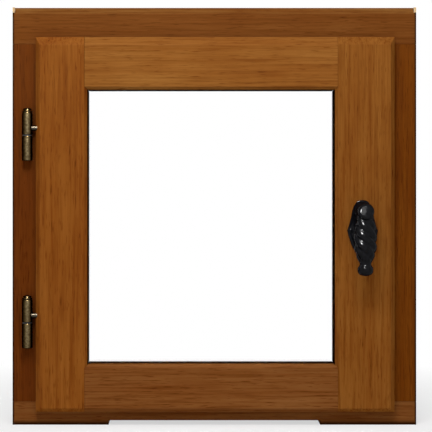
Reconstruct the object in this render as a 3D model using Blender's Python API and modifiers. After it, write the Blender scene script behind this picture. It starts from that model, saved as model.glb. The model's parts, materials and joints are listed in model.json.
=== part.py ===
"""Inward-opening casement window: varnished hardwood frame and sash, knuckle hinges, turning handle.

Metres, +Z up. The room side faces -Y, the weather side +Y. The origin is at the bottom centre of the
closed window, so the sill's feet stand on z = 0.
"""

import math
from collections import namedtuple

import bmesh
import bpy
from mathutils import Matrix, Vector

# Frame
FRAME_WIDTH = 0.500
FRAME_HEIGHT = 0.517
FRAME_DEPTH = 0.058
JAMB_FACE = 0.040  # front face of a jamb, from its outer edge to the rebate
HEAD_FACE = 0.0455
SILL_FACE = 0.0287
STOP_HEIGHT = 0.012  # how far the stop stands in from the rebate
HEAD_SPLAY = 0.008
CORNER_BLOCK_WIDTH = 0.0028
CORNER_BLOCK_HEIGHT = 0.0065
CORNER_BLOCK_DEPTH = 0.012
SILL_NOSE = 0.014  # how far the sill stands out behind the frame
SILL_NOSE_UNDERSIDE = 0.009
SILL_NOSE_TOP = 0.030
SILL_SLOPE_START = 0.006  # flat top of the sill's stop before the slope
FOOT_LENGTH = 0.119
FOOT_HEIGHT = 0.0055
DRIP_GROOVE = 0.003
FRAME_TENON_LENGTH = 0.020
FRAME_TENON_WIDTH = 0.016
FRAME_TENON_THICKNESS = 0.012

# Sash: margins are from the frame's outer edge to the edge of the sash's lip
MARGIN_LEFT = 0.0296
MARGIN_RIGHT = 0.0281
MARGIN_TOP = 0.0376
MARGIN_BOTTOM = 0.0174
SASH_DEPTH = 0.045
SASH_PROUD = 0.0155  # how far the sash's face stands in front of the frame
LIP_GAP = 0.0005  # between the lip's back and the frame
STOP_CLEARANCE = 0.0025  # from the sash's back to the stop, where the weather seal lies
CLEAR_HINGE_SIDE = 0.005
CLEAR_LOCK_SIDE = 0.003
CLEAR_TOP = 0.004
CLEAR_BOTTOM = 0.0043
HINGE_STILE = 0.064  # lip edge to sight line
LOCK_STILE = 0.074
TOP_RAIL = 0.0653
BOTTOM_RAIL = 0.0585
EDGE_DEPTH = 0.006  # the moulded front edge of the lip, from front to back
EDGE_SIDE = 0.0055
EDGE_TOP = 0.010
EDGE_BOTTOM = 0.005
INNER_CHAMFER = 0.004
NIB_DEPTH = 0.015  # wood in front of the glazing rebate
GLAZING_REBATE = 0.014  # how far the rebate goes in behind the sight line
SASH_TENON_LENGTH = 0.025
SASH_TENON_THICKNESS = 0.006
SASH_TENON_INSET = 0.0025  # from the nib's back to the tenon
SASH_TENON_SHOULDER = 0.005

# Glazing
PANE_THICKNESS = 0.004
PANE_SPACE = 0.008
PANE_EDGE_CLEARANCE = 0.003
SEAL_INNER_THICKNESS = 0.0024
SEAL_OUTER_THICKNESS = 0.0017
SEAL_WIDTH = 0.009
SEAL_SETBACK = 0.0005
SPACER_WIDTH = 0.0065
SPACER_INSET = 0.002
BEAD_CHAMFER = 0.003
SETTING_BLOCK_LENGTH = 0.024
SETTING_BLOCK_INSET = 0.070

# Weather seal and weather bar
WEATHER_SEAL_WIDTH = 0.007
WEATHER_BARB_WIDTH = 0.0024
WEATHER_BARB_DEPTH = 0.004
WEATHER_BAR_PROJECTION = 0.030
WEATHER_BAR_CLEARANCE = 0.0053  # between the top of the sill's stop and the weather bar
WEATHER_BAR_BACK_HEIGHT = 0.014
WEATHER_BAR_NOSE_HEIGHT = 0.005
WEATHER_BAR_TOP_FLAT = 0.005
WEATHER_BAR_SIDE_CLEARANCE = 0.008

# Hinges
HINGE_FROM_TOP = 0.1212  # the sash's top to the split between the upper hinge's knuckles
HINGE_FROM_BOTTOM = 0.1097
KNUCKLE_RADIUS = 0.0065
KNUCKLE_CLEARANCE = 0.0015  # between a knuckle and the frame's face
KNUCKLE_TO_SASH = 0.0041
KNUCKLE_BELOW = 0.0312
KNUCKLE_ABOVE = 0.0285
KNUCKLE_EDGE = 0.0008
WASHER_THICKNESS = 0.0008
PIN_RADIUS = 0.0032
PIN_LENGTH = 0.046
CAP_HEIGHT = 0.005
# (share of the knuckle's radius, share of the cap's height) from the top down: a button on a collar
CAP_SHAPE = (
    (0.00, 1.00),
    (0.45, 0.96),
    (0.72, 0.82),
    (0.84, 0.60),
    (0.74, 0.40),
    (1.00, 0.26),
    (1.00, 0.00),
    (0.00, 0.00),
)
STEM_RADIUS = 0.0035
STEM_LENGTH = 0.045
STEM_SOCKET = 0.0022
STEM_RISE = 0.009  # stem above or below the split between the knuckles

# Handle
BACKSET = 0.0254  # handle axis to the sash's locking edge
HANDLE_ABOVE_MIDDLE = 0.017  # above the middle of the sash
HANDLE_PROJECTION = 0.050
HANDLE_LENGTH = 0.0783
BACKPLATE_THICKNESS = 0.0035
BACKPLATE_EDGE = 0.0012
BACKPLATE_TOP = 0.013
BACKPLATE_BOTTOM = 0.055
BACKPLATE_HALF_WIDTH = 0.0188
BACKPLATE_POINTS = 0.0245  # height of the pointed sides below the axis
# (share of the half width, height above the axis) of the right side, from the top down
BACKPLATE_SHAPE = (
    (0.30, BACKPLATE_TOP),
    (0.56, BACKPLATE_TOP * 0.45),
    (0.70, -BACKPLATE_POINTS * 0.25),
    (1.00, -BACKPLATE_POINTS),
    (0.78, -BACKPLATE_POINTS * 0.45 - BACKPLATE_BOTTOM * 0.55),
    (0.34, -BACKPLATE_BOTTOM),
)
BACKPLATE_SCREW_REACH = 0.0142
BUSH_WALL = 0.0021
BUSH_LENGTH = 0.005
NECK_WALL = 0.0016  # metal left outside the corners of the square socket
BOSS_RADIUS = 0.0100
# (share of the boss's radius, distance back from its front) of the rounded front
BOSS_CROWN = ((0.0, 0.0), (0.5, 0.0008), (0.85, 0.003), (1.0, 0.007))
BOSS_WAIST_RADIUS = 0.0085
BOSS_SHOULDER = 0.006  # length of the taper from the boss to its waist
BOSS_FOOT_RADIUS = 0.0110
BOSS_FOOT_THICKNESS = 0.002
GRIP_AXIS = 0.034  # grip's centre line in front of the sash's face
GRIP_RADIUS = 0.0138
GRIP_LOBES = 4
GRIP_LOBE_SHARE = 0.07
GRIP_LOBES_END = 0.8  # share of the handle's length where the lobes have faded out
GRIP_TWIST_PITCH = 0.052
# (share of the handle's length below its axis, share of the grip's radius): a drop, a neck, a knob
GRIP_SHAPE = (
    (0.00, 0.60),
    (0.13, 0.78),
    (0.23, 0.93),
    (0.36, 1.00),
    (0.51, 0.98),
    (0.64, 0.87),
    (0.73, 0.68),
    (0.79, 0.54),
    (0.825, 0.53),
    (0.855, 0.65),
    (0.905, 0.69),
    (0.96, 0.62),
    (0.99, 0.40),
    (1.00, 0.12),
)
GRIP_SIDES = 24
GRIP_RINGS = 26
SPINDLE_SIDE = 0.007
SPINDLE_SOCKET_DEPTH = 0.026
GRUB_RADIUS = 0.0020
GRUB_REACH = 0.014

# Espagnolette
ROD_DEPTH = 0.029  # rods' centre behind the sash's face
ROD_RADIUS = 0.0035
ROD_STANDS_OUT = 0.0004  # how far the round bolt stands out behind its toothed bar
PINION_HUB_WALL = 0.0008
PITCH_OVER_HUB = 0.0018
PINION_TEETH = 12
RACK_TEETH_BELOW = 2  # pitches of rack past the pinion's centre at rest
PRESSURE_ANGLE = math.radians(30)
TOOTH_ADDENDUM = 0.001
TOOTH_DEDENDUM = 0.00135
TOOTH_THINNING = 0.00012
RACK_BACKING = 0.0036
RACK_THICKNESS = 0.007
PINION_THICKNESS = 0.0066
CASE_WALL = 0.0015
CASE_SIDE_WALL = 0.0018
CASE_END_WALL = 0.0024
POCKET_CLEARANCE = 0.0005
POCKET_HALF_DEPTH = 0.004
FACEPLATE_THICKNESS = 0.0022
FACEPLATE_WIDTH = 0.016
FACEPLATE_END = 0.018  # how far the faceplate runs past the gearbox at each end
FACEPLATE_SCREW_INSET = 0.008
KEEPER_LENGTH = 0.028
KEEPER_WIDTH = 0.014
KEEPER_THICKNESS = 0.002
KEEPER_SCREW_REACH = 0.0098
KEEPER_HOLE_CLEARANCE = 0.0007  # round the bolt
KEEPER_HOLE_DEPTH = 0.012
BOLT_TIP_GAP = 0.0005
BOLT_TIP_CHAMFER = 0.001

# Screws
SCREW_HEAD_RADIUS = 0.0030
SCREW_SHANK_RADIUS = 0.0016
WOOD_SCREW_LENGTH = 0.014
FACEPLATE_SCREW_LENGTH = 0.009
SCREW_SLOT_WIDTH = 0.0008
SCREW_SLOT_DEPTH = 0.0006

# Fits
GAP = 0.0003  # between pieces that meet
PAST = 0.010  # how far a cutter runs past what it cuts
BITE = 0.001  # overlap of shapes joined into one piece
GRID = 0.0000001  # corners that have to lie in one plane are rounded to this
ROUND_STEPS = 24
SCREW_STEPS = 12

Rect = namedtuple("Rect", "left right bottom top")


def grown(rect, by):
    return Rect(rect.left - by, rect.right + by, rect.bottom - by, rect.top + by)


# Outlines in X and Z
FRAME = Rect(-FRAME_WIDTH / 2, FRAME_WIDTH / 2, 0.0, FRAME_HEIGHT)
REBATE = Rect(
    FRAME.left + JAMB_FACE, FRAME.right - JAMB_FACE, SILL_FACE, FRAME.top - HEAD_FACE
)
STOP = grown(REBATE, -STOP_HEIGHT)
LIP = Rect(
    FRAME.left + MARGIN_LEFT,
    FRAME.right - MARGIN_RIGHT,
    MARGIN_BOTTOM,
    FRAME.top - MARGIN_TOP,
)
BODY = Rect(
    REBATE.left + CLEAR_HINGE_SIDE,
    REBATE.right - CLEAR_LOCK_SIDE,
    REBATE.bottom + CLEAR_BOTTOM,
    REBATE.top - CLEAR_TOP,
)
SIGHT = Rect(
    LIP.left + HINGE_STILE,
    LIP.right - LOCK_STILE,
    LIP.bottom + BOTTOM_RAIL,
    LIP.top - TOP_RAIL,
)
SHOULDER = grown(SIGHT, INNER_CHAMFER)
GLAZING = grown(SIGHT, GLAZING_REBATE)
PANE = grown(GLAZING, -PANE_EDGE_CLEARANCE)
MITRE_RUN = 2 * INNER_CHAMFER  # the sash's mitres run on past the chamfer, into the opening

# Depths in Y; the frame's front face is placed so that the origin lies midway between front and back
FRONT_REACH = SASH_PROUD + HANDLE_PROJECTION
BACK_REACH = FRAME_DEPTH + SILL_NOSE
FRAME_FRONT = (FRONT_REACH - BACK_REACH) / 2
FRAME_BACK = FRAME_FRONT + FRAME_DEPTH
NOSE_BACK = FRAME_BACK + SILL_NOSE
SASH_FRONT = FRAME_FRONT - SASH_PROUD
SASH_BACK = SASH_FRONT + SASH_DEPTH
STOP_FRONT = SASH_BACK + STOP_CLEARANCE
LIP_BACK = FRAME_FRONT - LIP_GAP
NIB_BACK = SASH_FRONT + NIB_DEPTH
INNER_PANE_FRONT = NIB_BACK + SEAL_INNER_THICKNESS + 2 * GAP
INNER_PANE_BACK = INNER_PANE_FRONT + PANE_THICKNESS
OUTER_PANE_FRONT = INNER_PANE_BACK + PANE_SPACE
OUTER_PANE_BACK = OUTER_PANE_FRONT + PANE_THICKNESS
BEAD_FRONT = OUTER_PANE_BACK + SEAL_OUTER_THICKNESS + 2 * GAP
ROD_Y = SASH_FRONT + ROD_DEPTH
CASE_FRONT = ROD_Y - POCKET_HALF_DEPTH - CASE_WALL
COVER_FRONT = ROD_Y + POCKET_HALF_DEPTH + GAP
COVER_BACK = COVER_FRONT + CASE_WALL

# Axes
HINGE_X = LIP.left - KNUCKLE_TO_SASH - KNUCKLE_RADIUS
HINGE_Y = FRAME_FRONT - KNUCKLE_RADIUS - KNUCKLE_CLEARANCE
HINGE_SPLITS = {"upper": LIP.top - HINGE_FROM_TOP, "lower": LIP.bottom + HINGE_FROM_BOTTOM}
HANDLE_X = BODY.right - BACKSET
HANDLE_Z = (LIP.bottom + LIP.top) / 2 + HANDLE_ABOVE_MIDDLE

# Spindle, pinion and rods, from the spindle outwards
SOCKET_CORNER = (SPINDLE_SIDE / 2 + GAP) * math.sqrt(2)
NECK_RADIUS = SOCKET_CORNER + NECK_WALL
BUSH_BORE = NECK_RADIUS + GAP
BUSH_RADIUS = BUSH_BORE + BUSH_WALL
PINION_HUB_RADIUS = SOCKET_CORNER + PINION_HUB_WALL
PITCH_RADIUS = PINION_HUB_RADIUS + PITCH_OVER_HUB
TOOTH_PITCH = 2 * math.pi * PITCH_RADIUS / PINION_TEETH
RACK_TRAVEL_TEETH = PINION_TEETH // 4
RACK_TEETH_ABOVE = RACK_TEETH_BELOW + RACK_TRAVEL_TEETH
RACK_BACK = PITCH_RADIUS + TOOTH_DEDENDUM + RACK_BACKING
ROD_OFFSET = RACK_BACK + ROD_STANDS_OUT - ROD_RADIUS
POCKET_HALF_WIDTH = ROD_OFFSET + ROD_RADIUS + POCKET_CLEARANCE
POCKET_HALF_HEIGHT = RACK_TEETH_ABOVE * TOOTH_PITCH + POCKET_CLEARANCE
CASE_SIDE = POCKET_HALF_WIDTH + CASE_SIDE_WALL
CASE_HALF_HEIGHT = POCKET_HALF_HEIGHT + CASE_END_WALL
FACEPLATE_HALF_HEIGHT = CASE_HALF_HEIGHT + FACEPLATE_END

X_AXIS = Vector((1, 0, 0))
Y_AXIS = Vector((0, 1, 0))
Z_AXIS = Vector((0, 0, 1))
TO_ROOM = -Y_AXIS

PLANE_TURNS = {
    "XY": (0, 0, 0),
    "XZ": (math.pi / 2, 0, 0),
    "YZ": (math.pi / 2, 0, math.pi / 2),
}
PLANE_NORMALS = {"XY": Z_AXIS, "XZ": Y_AXIS, "YZ": X_AXIS}

MATERIALS = {
    "varnished_hardwood": ((0.16, 0.065, 0.016), 0.35, 0.0),
    "raw_softwood": ((0.62, 0.45, 0.27), 0.8, 0.0),
    "bronzed_steel": ((0.20, 0.17, 0.10), 0.4, 1.0),
    "bright_steel": ((0.75, 0.74, 0.72), 0.25, 1.0),
    "zinc_steel": ((0.55, 0.55, 0.56), 0.4, 1.0),
    "black_iron": ((0.012, 0.012, 0.013), 0.25, 0.6),
    "nylon": ((0.03, 0.03, 0.03), 0.5, 0.0),
    "black_rubber": ((0.015, 0.015, 0.015), 0.7, 0.0),
    "clear_glass": ((0.92, 0.97, 0.95), 0.02, 0.0),
    "aluminium": ((0.72, 0.72, 0.73), 0.35, 1.0),
}


def clear_scene():
    for obj in list(bpy.data.objects):
        bpy.data.objects.remove(obj, do_unlink=True)


def new_collection(name):
    group = bpy.data.collections.new(name)
    bpy.context.scene.collection.children.link(group)
    return group


def new_material(name):
    colour, roughness, metallic = MATERIALS[name.split(".")[0]]
    material = bpy.data.materials.new(name)
    material.use_nodes = True
    shader = material.node_tree.nodes["Principled BSDF"]
    shader.inputs["Base Color"].default_value = (*colour, 1)
    shader.inputs["Roughness"].default_value = roughness
    shader.inputs["Metallic"].default_value = metallic
    return material


clear_scene()
PARTS = new_collection("casement_window")
CUTTERS = new_collection("cutters")
CUTTERS.hide_render = True


# Shapes


def object_from(name, bm):
    """A new object in the cutters' collection; part() moves the ones that are pieces of the window."""
    bmesh.ops.recalc_face_normals(bm, faces=bm.faces[:])
    mesh = bpy.data.meshes.new(name)
    bm.to_mesh(mesh)
    bm.free()
    return placed(name, mesh)


def placed(name, mesh):
    obj = bpy.data.objects.new(name, mesh)
    CUTTERS.objects.link(obj)
    obj.hide_render = True
    obj.display_type = "WIRE"
    return obj


def block(name, xs, ys, zs):
    bm = bmesh.new()
    bmesh.ops.create_cube(bm, size=1)
    sizes = [high - low for low, high in (xs, ys, zs)]
    bmesh.ops.scale(bm, vec=sizes, verts=bm.verts)
    obj = object_from(name, bm)
    obj.location = [(low + high) / 2 for low, high in (xs, ys, zs)]
    return obj


def splayed_block(name, rect, front, back, splay_depth, splays):
    """A block whose front is drawn in by the splays (left, right, bottom, top) over splay_depth."""
    bm = bmesh.new()
    bmesh.ops.create_cube(bm, size=1)
    start = front + splay_depth
    middle = Vector(((rect.left + rect.right) / 2, (start + back) / 2, (rect.bottom + rect.top) / 2))
    sizes = (rect.right - rect.left, back - start, rect.top - rect.bottom)
    bmesh.ops.scale(bm, vec=sizes, verts=bm.verts)
    front_face = min(bm.faces, key=lambda face: face.calc_center_median().y)
    drawn = bmesh.ops.extrude_discrete_faces(bm, faces=[front_face])["faces"][0]
    left, right, bottom, top = splays
    for vert in drawn.verts:
        vert.co.y -= splay_depth
        vert.co.x += left if vert.co.x < 0 else -right
        vert.co.z += bottom if vert.co.z < 0 else -top
    obj = object_from(name, bm)
    obj.location = middle
    return obj


def settled(obj):
    """Works an object's place into its mesh on a fine grid, so that faces meant for one plane lie in it."""
    bpy.context.view_layer.update()
    obj.data.transform(obj.matrix_world)
    obj.matrix_world = Matrix()
    for vert in obj.data.vertices:
        vert.co = [round(value / GRID) * GRID for value in vert.co]
    return obj


def meshed(curve_object):
    """The mesh object that replaces a curve object, with its caps welded."""
    bpy.context.view_layer.update()
    graph = bpy.context.evaluated_depsgraph_get()
    mesh = bpy.data.meshes.new_from_object(curve_object.evaluated_get(graph))
    bm = bmesh.new()
    bm.from_mesh(mesh)
    bmesh.ops.remove_doubles(bm, verts=bm.verts, dist=0.000001)
    bmesh.ops.recalc_face_normals(bm, faces=bm.faces[:])
    bm.to_mesh(mesh)
    bm.free()
    name = curve_object.name
    place = curve_object.matrix_world.copy()
    bpy.data.objects.remove(curve_object, do_unlink=True)
    obj = placed(name, mesh)
    obj.matrix_world = place
    return obj


def prism(name, outline, plane, low, high):
    """The outline, drawn in the plane, given a thickness from low to high along the third axis."""
    curve = bpy.data.curves.new(name, "CURVE")
    curve.dimensions = "2D"
    curve.fill_mode = "BOTH"
    curve.extrude = (high - low) / 2
    spline = curve.splines.new("POLY")
    spline.points.add(len(outline) - 1)
    for point, (across, up) in zip(spline.points, outline):
        point.co = (across, up, 0, 1)
    spline.use_cyclic_u = True
    obj = bpy.data.objects.new(name, curve)
    CUTTERS.objects.link(obj)
    obj.rotation_euler = PLANE_TURNS[plane]
    obj.location = PLANE_NORMALS[plane] * (low + high) / 2
    return meshed(obj)


def turned(name, profile, base, direction, ring=False, steps=ROUND_STEPS):
    """A turned shape: (radius, height) pairs from the top down, heights along direction from base."""
    bm = bmesh.new()
    verts = [bm.verts.new((radius, 0, height)) for radius, height in profile]
    for first, second in zip(verts, verts[1:]):
        bm.edges.new((first, second))
    if ring:
        bm.edges.new((verts[-1], verts[0]))
    mesh = bpy.data.meshes.new(name)
    bm.to_mesh(mesh)
    bm.free()
    obj = placed(name, mesh)
    obj.location = base
    obj.rotation_euler = direction.to_track_quat("Z", "Y").to_euler()
    screw = obj.modifiers.new("Turn", "SCREW")
    screw.steps = steps
    screw.render_steps = steps
    screw.use_merge_vertices = True
    screw.merge_threshold = 0.000001
    screw.use_smooth_shade = False
    return obj


def peg(name, start, end, radius, steps=ROUND_STEPS):
    bm = bmesh.new()
    along = end - start
    bmesh.ops.create_cone(
        bm, cap_ends=True, segments=steps, radius1=radius, radius2=radius, depth=along.length
    )
    obj = object_from(name, bm)
    obj.location = (start + end) / 2
    obj.rotation_euler = along.to_track_quat("Z", "Y").to_euler()
    return obj


def loft(name, rings):
    """A closed shape through rings of points, each ring with as many points as the next."""
    bm = bmesh.new()
    loops = [[bm.verts.new(point) for point in ring] for ring in rings]
    for lower, upper in zip(loops, loops[1:]):
        for i in range(len(lower)):
            j = (i + 1) % len(lower)
            bm.faces.new((lower[i], lower[j], upper[j], upper[i]))
    bm.faces.new(loops[0])
    bm.faces.new(loops[-1])
    return object_from(name, bm)


def ring_block(name, outer, inner, low, high):
    """A flat rectangular ring between two outlines, from low to high in Y."""
    ring = block(name, (outer.left, outer.right), (low, high), (outer.bottom, outer.top))
    hole = block(
        name + "_hole",
        (inner.left, inner.right),
        (low - PAST, high + PAST),
        (inner.bottom, inner.top),
    )
    cut(ring, hole)
    return ring


def boolean(target, tool, operation):
    modifier = target.modifiers.new(tool.name, "BOOLEAN")
    modifier.operation = operation
    modifier.solver = "EXACT"
    modifier.object = tool


def cut(target, *tools):
    for tool in tools:
        boolean(target, tool, "DIFFERENCE")


def join(target, *tools):
    for tool in tools:
        boolean(target, tool, "UNION")


def solid_copy(name, source):
    """A new object with the source's shape, its modifiers worked in."""
    bpy.context.view_layer.update()
    graph = bpy.context.evaluated_depsgraph_get()
    mesh = bpy.data.meshes.new_from_object(source.evaluated_get(graph))
    obj = placed(name, mesh)
    obj.matrix_world = source.matrix_world
    return obj


def pivot(name, location, parent=None):
    """An empty on a joint's axis, which carries the pieces that move with the joint."""
    empty = bpy.data.objects.new(name, None)
    PARTS.objects.link(empty)
    empty.empty_display_size = 0.02
    empty.location = location
    if parent is not None:
        carry(empty, parent)
    return empty


def carry(piece, carrier):
    """Parents a piece to a pivot and leaves it where it is; a pivot's location is its world place."""
    piece.parent = carrier
    piece.matrix_parent_inverse = Matrix.Translation(carrier.location).inverted()


def part(obj, material, carrier, smooth=False):
    """Makes the shape a piece of the window, of that material, moving with its carrier."""
    CUTTERS.objects.unlink(obj)
    PARTS.objects.link(obj)
    obj.hide_render = False
    obj.display_type = "TEXTURED"
    obj.data.materials.clear()
    obj.data.materials.append(new_material(material + "." + obj.name))
    if smooth:
        obj.data.shade_smooth()
        obj.data.set_sharp_from_angle(angle=math.radians(35))
    carry(obj, carrier)
    return obj


frame_body = pivot("frame_body", (0, 0, 0))
sash_pivot = pivot("sash_pivot", (HINGE_X, HINGE_Y, 0), frame_body)
handle_pivot = pivot("handle_pivot", (HANDLE_X, SASH_FRONT, HANDLE_Z), sash_pivot)
upper_rod_slide = pivot("upper_rod_slide", (HANDLE_X + ROD_OFFSET, ROD_Y, BODY.top), sash_pivot)
lower_rod_slide = pivot("lower_rod_slide", (HANDLE_X - ROD_OFFSET, ROD_Y, BODY.bottom), sash_pivot)


# Countersunk screws


def screw_profile(length, extra):
    """Head up at height 0, point down; extra makes the hole's profile that much wider and deeper."""
    cone = SCREW_HEAD_RADIUS - SCREW_SHANK_RADIUS
    top = PAST if extra else 0
    profile = [(0, top)]
    if extra:
        profile.append((SCREW_HEAD_RADIUS + extra, top))
    profile += [
        (SCREW_HEAD_RADIUS + extra, -extra),
        (SCREW_SHANK_RADIUS + extra, -cone - extra),
        (SCREW_SHANK_RADIUS + extra, -length + SCREW_SHANK_RADIUS - extra),
        (0, -length - 2 * extra),
    ]
    return profile


def screw(name, head, direction, length, material, carrier, holes_in):
    """A slotted countersunk screw with its head flush at the point head, and its hole in each piece."""
    obj = turned(name, screw_profile(length, 0), head, direction, steps=SCREW_STEPS)
    side = direction.orthogonal().normalized()
    slot = block(
        name + "_slot",
        (-SCREW_HEAD_RADIUS * 2, SCREW_HEAD_RADIUS * 2),
        (-SCREW_SLOT_WIDTH / 2, SCREW_SLOT_WIDTH / 2),
        (-SCREW_SLOT_DEPTH, SCREW_SLOT_DEPTH * 2),
    )
    turn = Matrix((side, direction.cross(side), direction)).transposed()
    middle = Vector((0, 0, SCREW_SLOT_DEPTH / 2))
    slot.matrix_world = Matrix.Translation(Vector(head) + turn @ middle) @ turn.to_4x4()
    cut(obj, slot)
    hole = turned(name + "_hole", screw_profile(length, GAP), head, direction, steps=SCREW_STEPS)
    for piece in holes_in:
        cut(piece, hole)
    return part(obj, material, carrier)


# Frame


def head_section():
    """The head's section in Y and Z."""
    return [
        (FRAME_FRONT, REBATE.top),
        (STOP_FRONT, REBATE.top),
        (STOP_FRONT, STOP.top),
        (FRAME_BACK, STOP.top),
        (FRAME_BACK, FRAME.top),
        (FRAME_FRONT + HEAD_SPLAY, FRAME.top),
        (FRAME_FRONT, FRAME.top - HEAD_SPLAY),
    ]


def head_scribe():
    """The section that the jambs are scribed to, a gap clear of the head."""
    return [
        (FRAME_FRONT - PAST, REBATE.top - GAP),
        (STOP_FRONT - GAP, REBATE.top - GAP),
        (STOP_FRONT - GAP, STOP.top - GAP),
        (FRAME_BACK + PAST, STOP.top - GAP),
        (FRAME_BACK + PAST, FRAME.top + PAST),
        (FRAME_FRONT - PAST, FRAME.top + PAST),
    ]


SLOPE_START = STOP_FRONT + SILL_SLOPE_START


def sill_section():
    return [
        (FRAME_FRONT, REBATE.bottom),
        (FRAME_FRONT, FRAME.bottom),
        (FRAME_BACK, FRAME.bottom),
        (FRAME_BACK, SILL_NOSE_UNDERSIDE),
        (NOSE_BACK, SILL_NOSE_UNDERSIDE),
        (NOSE_BACK, SILL_NOSE_TOP),
        (SLOPE_START, STOP.bottom),
        (STOP_FRONT, STOP.bottom),
        (STOP_FRONT, REBATE.bottom),
    ]


def sill_scribe():
    fall = (STOP.bottom - SILL_NOSE_TOP) / (NOSE_BACK - SLOPE_START)
    return [
        (FRAME_FRONT - PAST, REBATE.bottom + GAP),
        (FRAME_FRONT - PAST, FRAME.bottom - PAST),
        (NOSE_BACK + PAST, FRAME.bottom - PAST),
        (NOSE_BACK + PAST, SILL_NOSE_TOP + GAP - fall * PAST),
        (SLOPE_START, STOP.bottom + GAP),
        (STOP_FRONT - GAP, STOP.bottom + GAP),
        (STOP_FRONT - GAP, REBATE.bottom + GAP),
    ]


def frame_tenon(name, side, low, high, gap):
    """The tenon of a jamb, or with a gap its mortise; side is -1 on the left and 1 on the right."""
    middle_x = side * (FRAME.right - JAMB_FACE / 2)
    middle_y = FRAME_FRONT + FRAME_DEPTH / 2
    half_x = FRAME_TENON_WIDTH / 2 + gap
    half_y = FRAME_TENON_THICKNESS / 2 + gap
    return block(
        name,
        (middle_x - half_x, middle_x + half_x),
        (middle_y - half_y, middle_y + half_y),
        (low - gap, high + gap),
    )


def build_frame():
    head = prism("frame_head", head_section(), "YZ", FRAME.left, FRAME.right)
    sill = prism("frame_sill", sill_section(), "YZ", FRAME.left, FRAME.right)
    relief = block(
        "sill_relief",
        (FRAME.left + FOOT_LENGTH, FRAME.right - FOOT_LENGTH),
        (FRAME_FRONT - PAST, NOSE_BACK + PAST),
        (-PAST, FOOT_HEIGHT),
    )
    groove_y = (FRAME_BACK + NOSE_BACK) / 2
    drip = block(
        "sill_drip",
        (FRAME.left - PAST, FRAME.right + PAST),
        (groove_y - DRIP_GROOVE / 2, groove_y + DRIP_GROOVE / 2),
        (0, SILL_NOSE_UNDERSIDE + DRIP_GROOVE),
    )
    cut(sill, relief, drip)

    scribes = [
        prism(name, section, "YZ", FRAME.left - PAST, FRAME.right + PAST)
        for name, section in (("head_scribe", head_scribe()), ("sill_scribe", sill_scribe()))
    ]
    jambs = []
    for name, side in (("left", -1), ("right", 1)):
        outline = [
            (side * FRAME.right, FRAME_FRONT),
            (side * REBATE.right, FRAME_FRONT),
            (side * REBATE.right, STOP_FRONT),
            (side * STOP.right, STOP_FRONT),
            (side * STOP.right, FRAME_BACK),
            (side * FRAME.right, FRAME_BACK),
        ]
        jamb = prism(f"frame_jamb_{name}", outline, "XY", FRAME.bottom, FRAME.top)
        cut(jamb, *scribes)
        top_end = REBATE.top + FRAME_TENON_LENGTH
        low_end = REBATE.bottom - FRAME_TENON_LENGTH
        top_root = STOP.top - PAST
        low_root = STOP.bottom + PAST
        join(
            jamb,
            frame_tenon(f"tenon_top_{name}", side, top_root, top_end, 0),
            frame_tenon(f"tenon_low_{name}", side, low_end, low_root, 0),
        )
        cut(head, frame_tenon(f"mortise_top_{name}", side, top_root, top_end, GAP))
        cut(sill, frame_tenon(f"mortise_low_{name}", side, low_end, low_root, GAP))
        jambs.append(jamb)

        outer = side * FRAME.right
        inner = side * (FRAME.right - CORNER_BLOCK_WIDTH)
        xs = sorted((outer, inner))
        notch_xs = sorted((outer + side * PAST, inner - side * GAP))
        bottom = FRAME.top - CORNER_BLOCK_HEIGHT
        back = FRAME_FRONT + CORNER_BLOCK_DEPTH
        corner = block(
            f"head_corner_block_{name}", xs, (FRAME_FRONT, back), (bottom, FRAME.top)
        )
        notch = block(
            f"head_notch_{name}",
            notch_xs,
            (FRAME_FRONT - PAST, back + GAP),
            (bottom - GAP, FRAME.top + PAST),
        )
        cut(head, notch)
        part(corner, "raw_softwood", frame_body)

    for piece in (head, sill, *jambs):
        part(piece, "varnished_hardwood", frame_body)
    return head, sill, jambs[0], jambs[1]


def build_weather_seal(members):
    middle = STOP_HEIGHT / 2
    half = WEATHER_SEAL_WIDTH / 2
    barb = WEATHER_BARB_WIDTH / 2
    seal = ring_block(
        "frame_weather_seal",
        grown(STOP, middle + half),
        grown(STOP, middle - half),
        SASH_BACK + GAP,
        STOP_FRONT - GAP,
    )
    barb_ring = ring_block(
        "weather_barb",
        grown(STOP, middle + barb),
        grown(STOP, middle - barb),
        STOP_FRONT - BITE,
        STOP_FRONT + WEATHER_BARB_DEPTH,
    )
    join(seal, barb_ring)
    groove = ring_block(
        "weather_groove",
        grown(STOP, middle + barb + GAP),
        grown(STOP, middle - barb - GAP),
        STOP_FRONT - BITE,
        STOP_FRONT + WEATHER_BARB_DEPTH + GAP,
    )
    for member in members:
        cut(member, groove)
    part(seal, "black_rubber", frame_body)


# Sash


def member_zone(name, outline, front_end, behind_xs, behind_start, behind_zs):
    """The space of a sash member: an outline in front of the glazing rebate and a block behind its nib."""
    zone = settled(prism(name, outline, "XZ", SASH_FRONT - PAST, front_end))
    behind = block(name + "_behind", behind_xs, (behind_start, SASH_BACK + PAST), behind_zs)
    join(zone, settled(behind))
    return zone


def rail_zone(name, shoulder_z, outer_z):
    """A rail's space, mitred to the stiles across the inner chamfer.

    shoulder_z is the height of the chamfer's outer edge, and outer_z lies past the rail.
    """
    outward = math.copysign(1, outer_z - shoulder_z)
    mitre_z = shoulder_z + outward * GAP
    inner_z = mitre_z - outward * MITRE_RUN
    left = SHOULDER.left + GAP
    right = SHOULDER.right - GAP
    outline = [
        (left, outer_z),
        (left, mitre_z),
        (left + MITRE_RUN, inner_z),
        (right - MITRE_RUN, inner_z),
        (right, mitre_z),
        (right, outer_z),
    ]
    behind_xs = (GLAZING.left + GAP, GLAZING.right - GAP)
    behind_zs = sorted((inner_z, outer_z + outward * BITE))
    return member_zone(name, outline, NIB_BACK + BITE, behind_xs, NIB_BACK + GAP, behind_zs)


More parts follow.
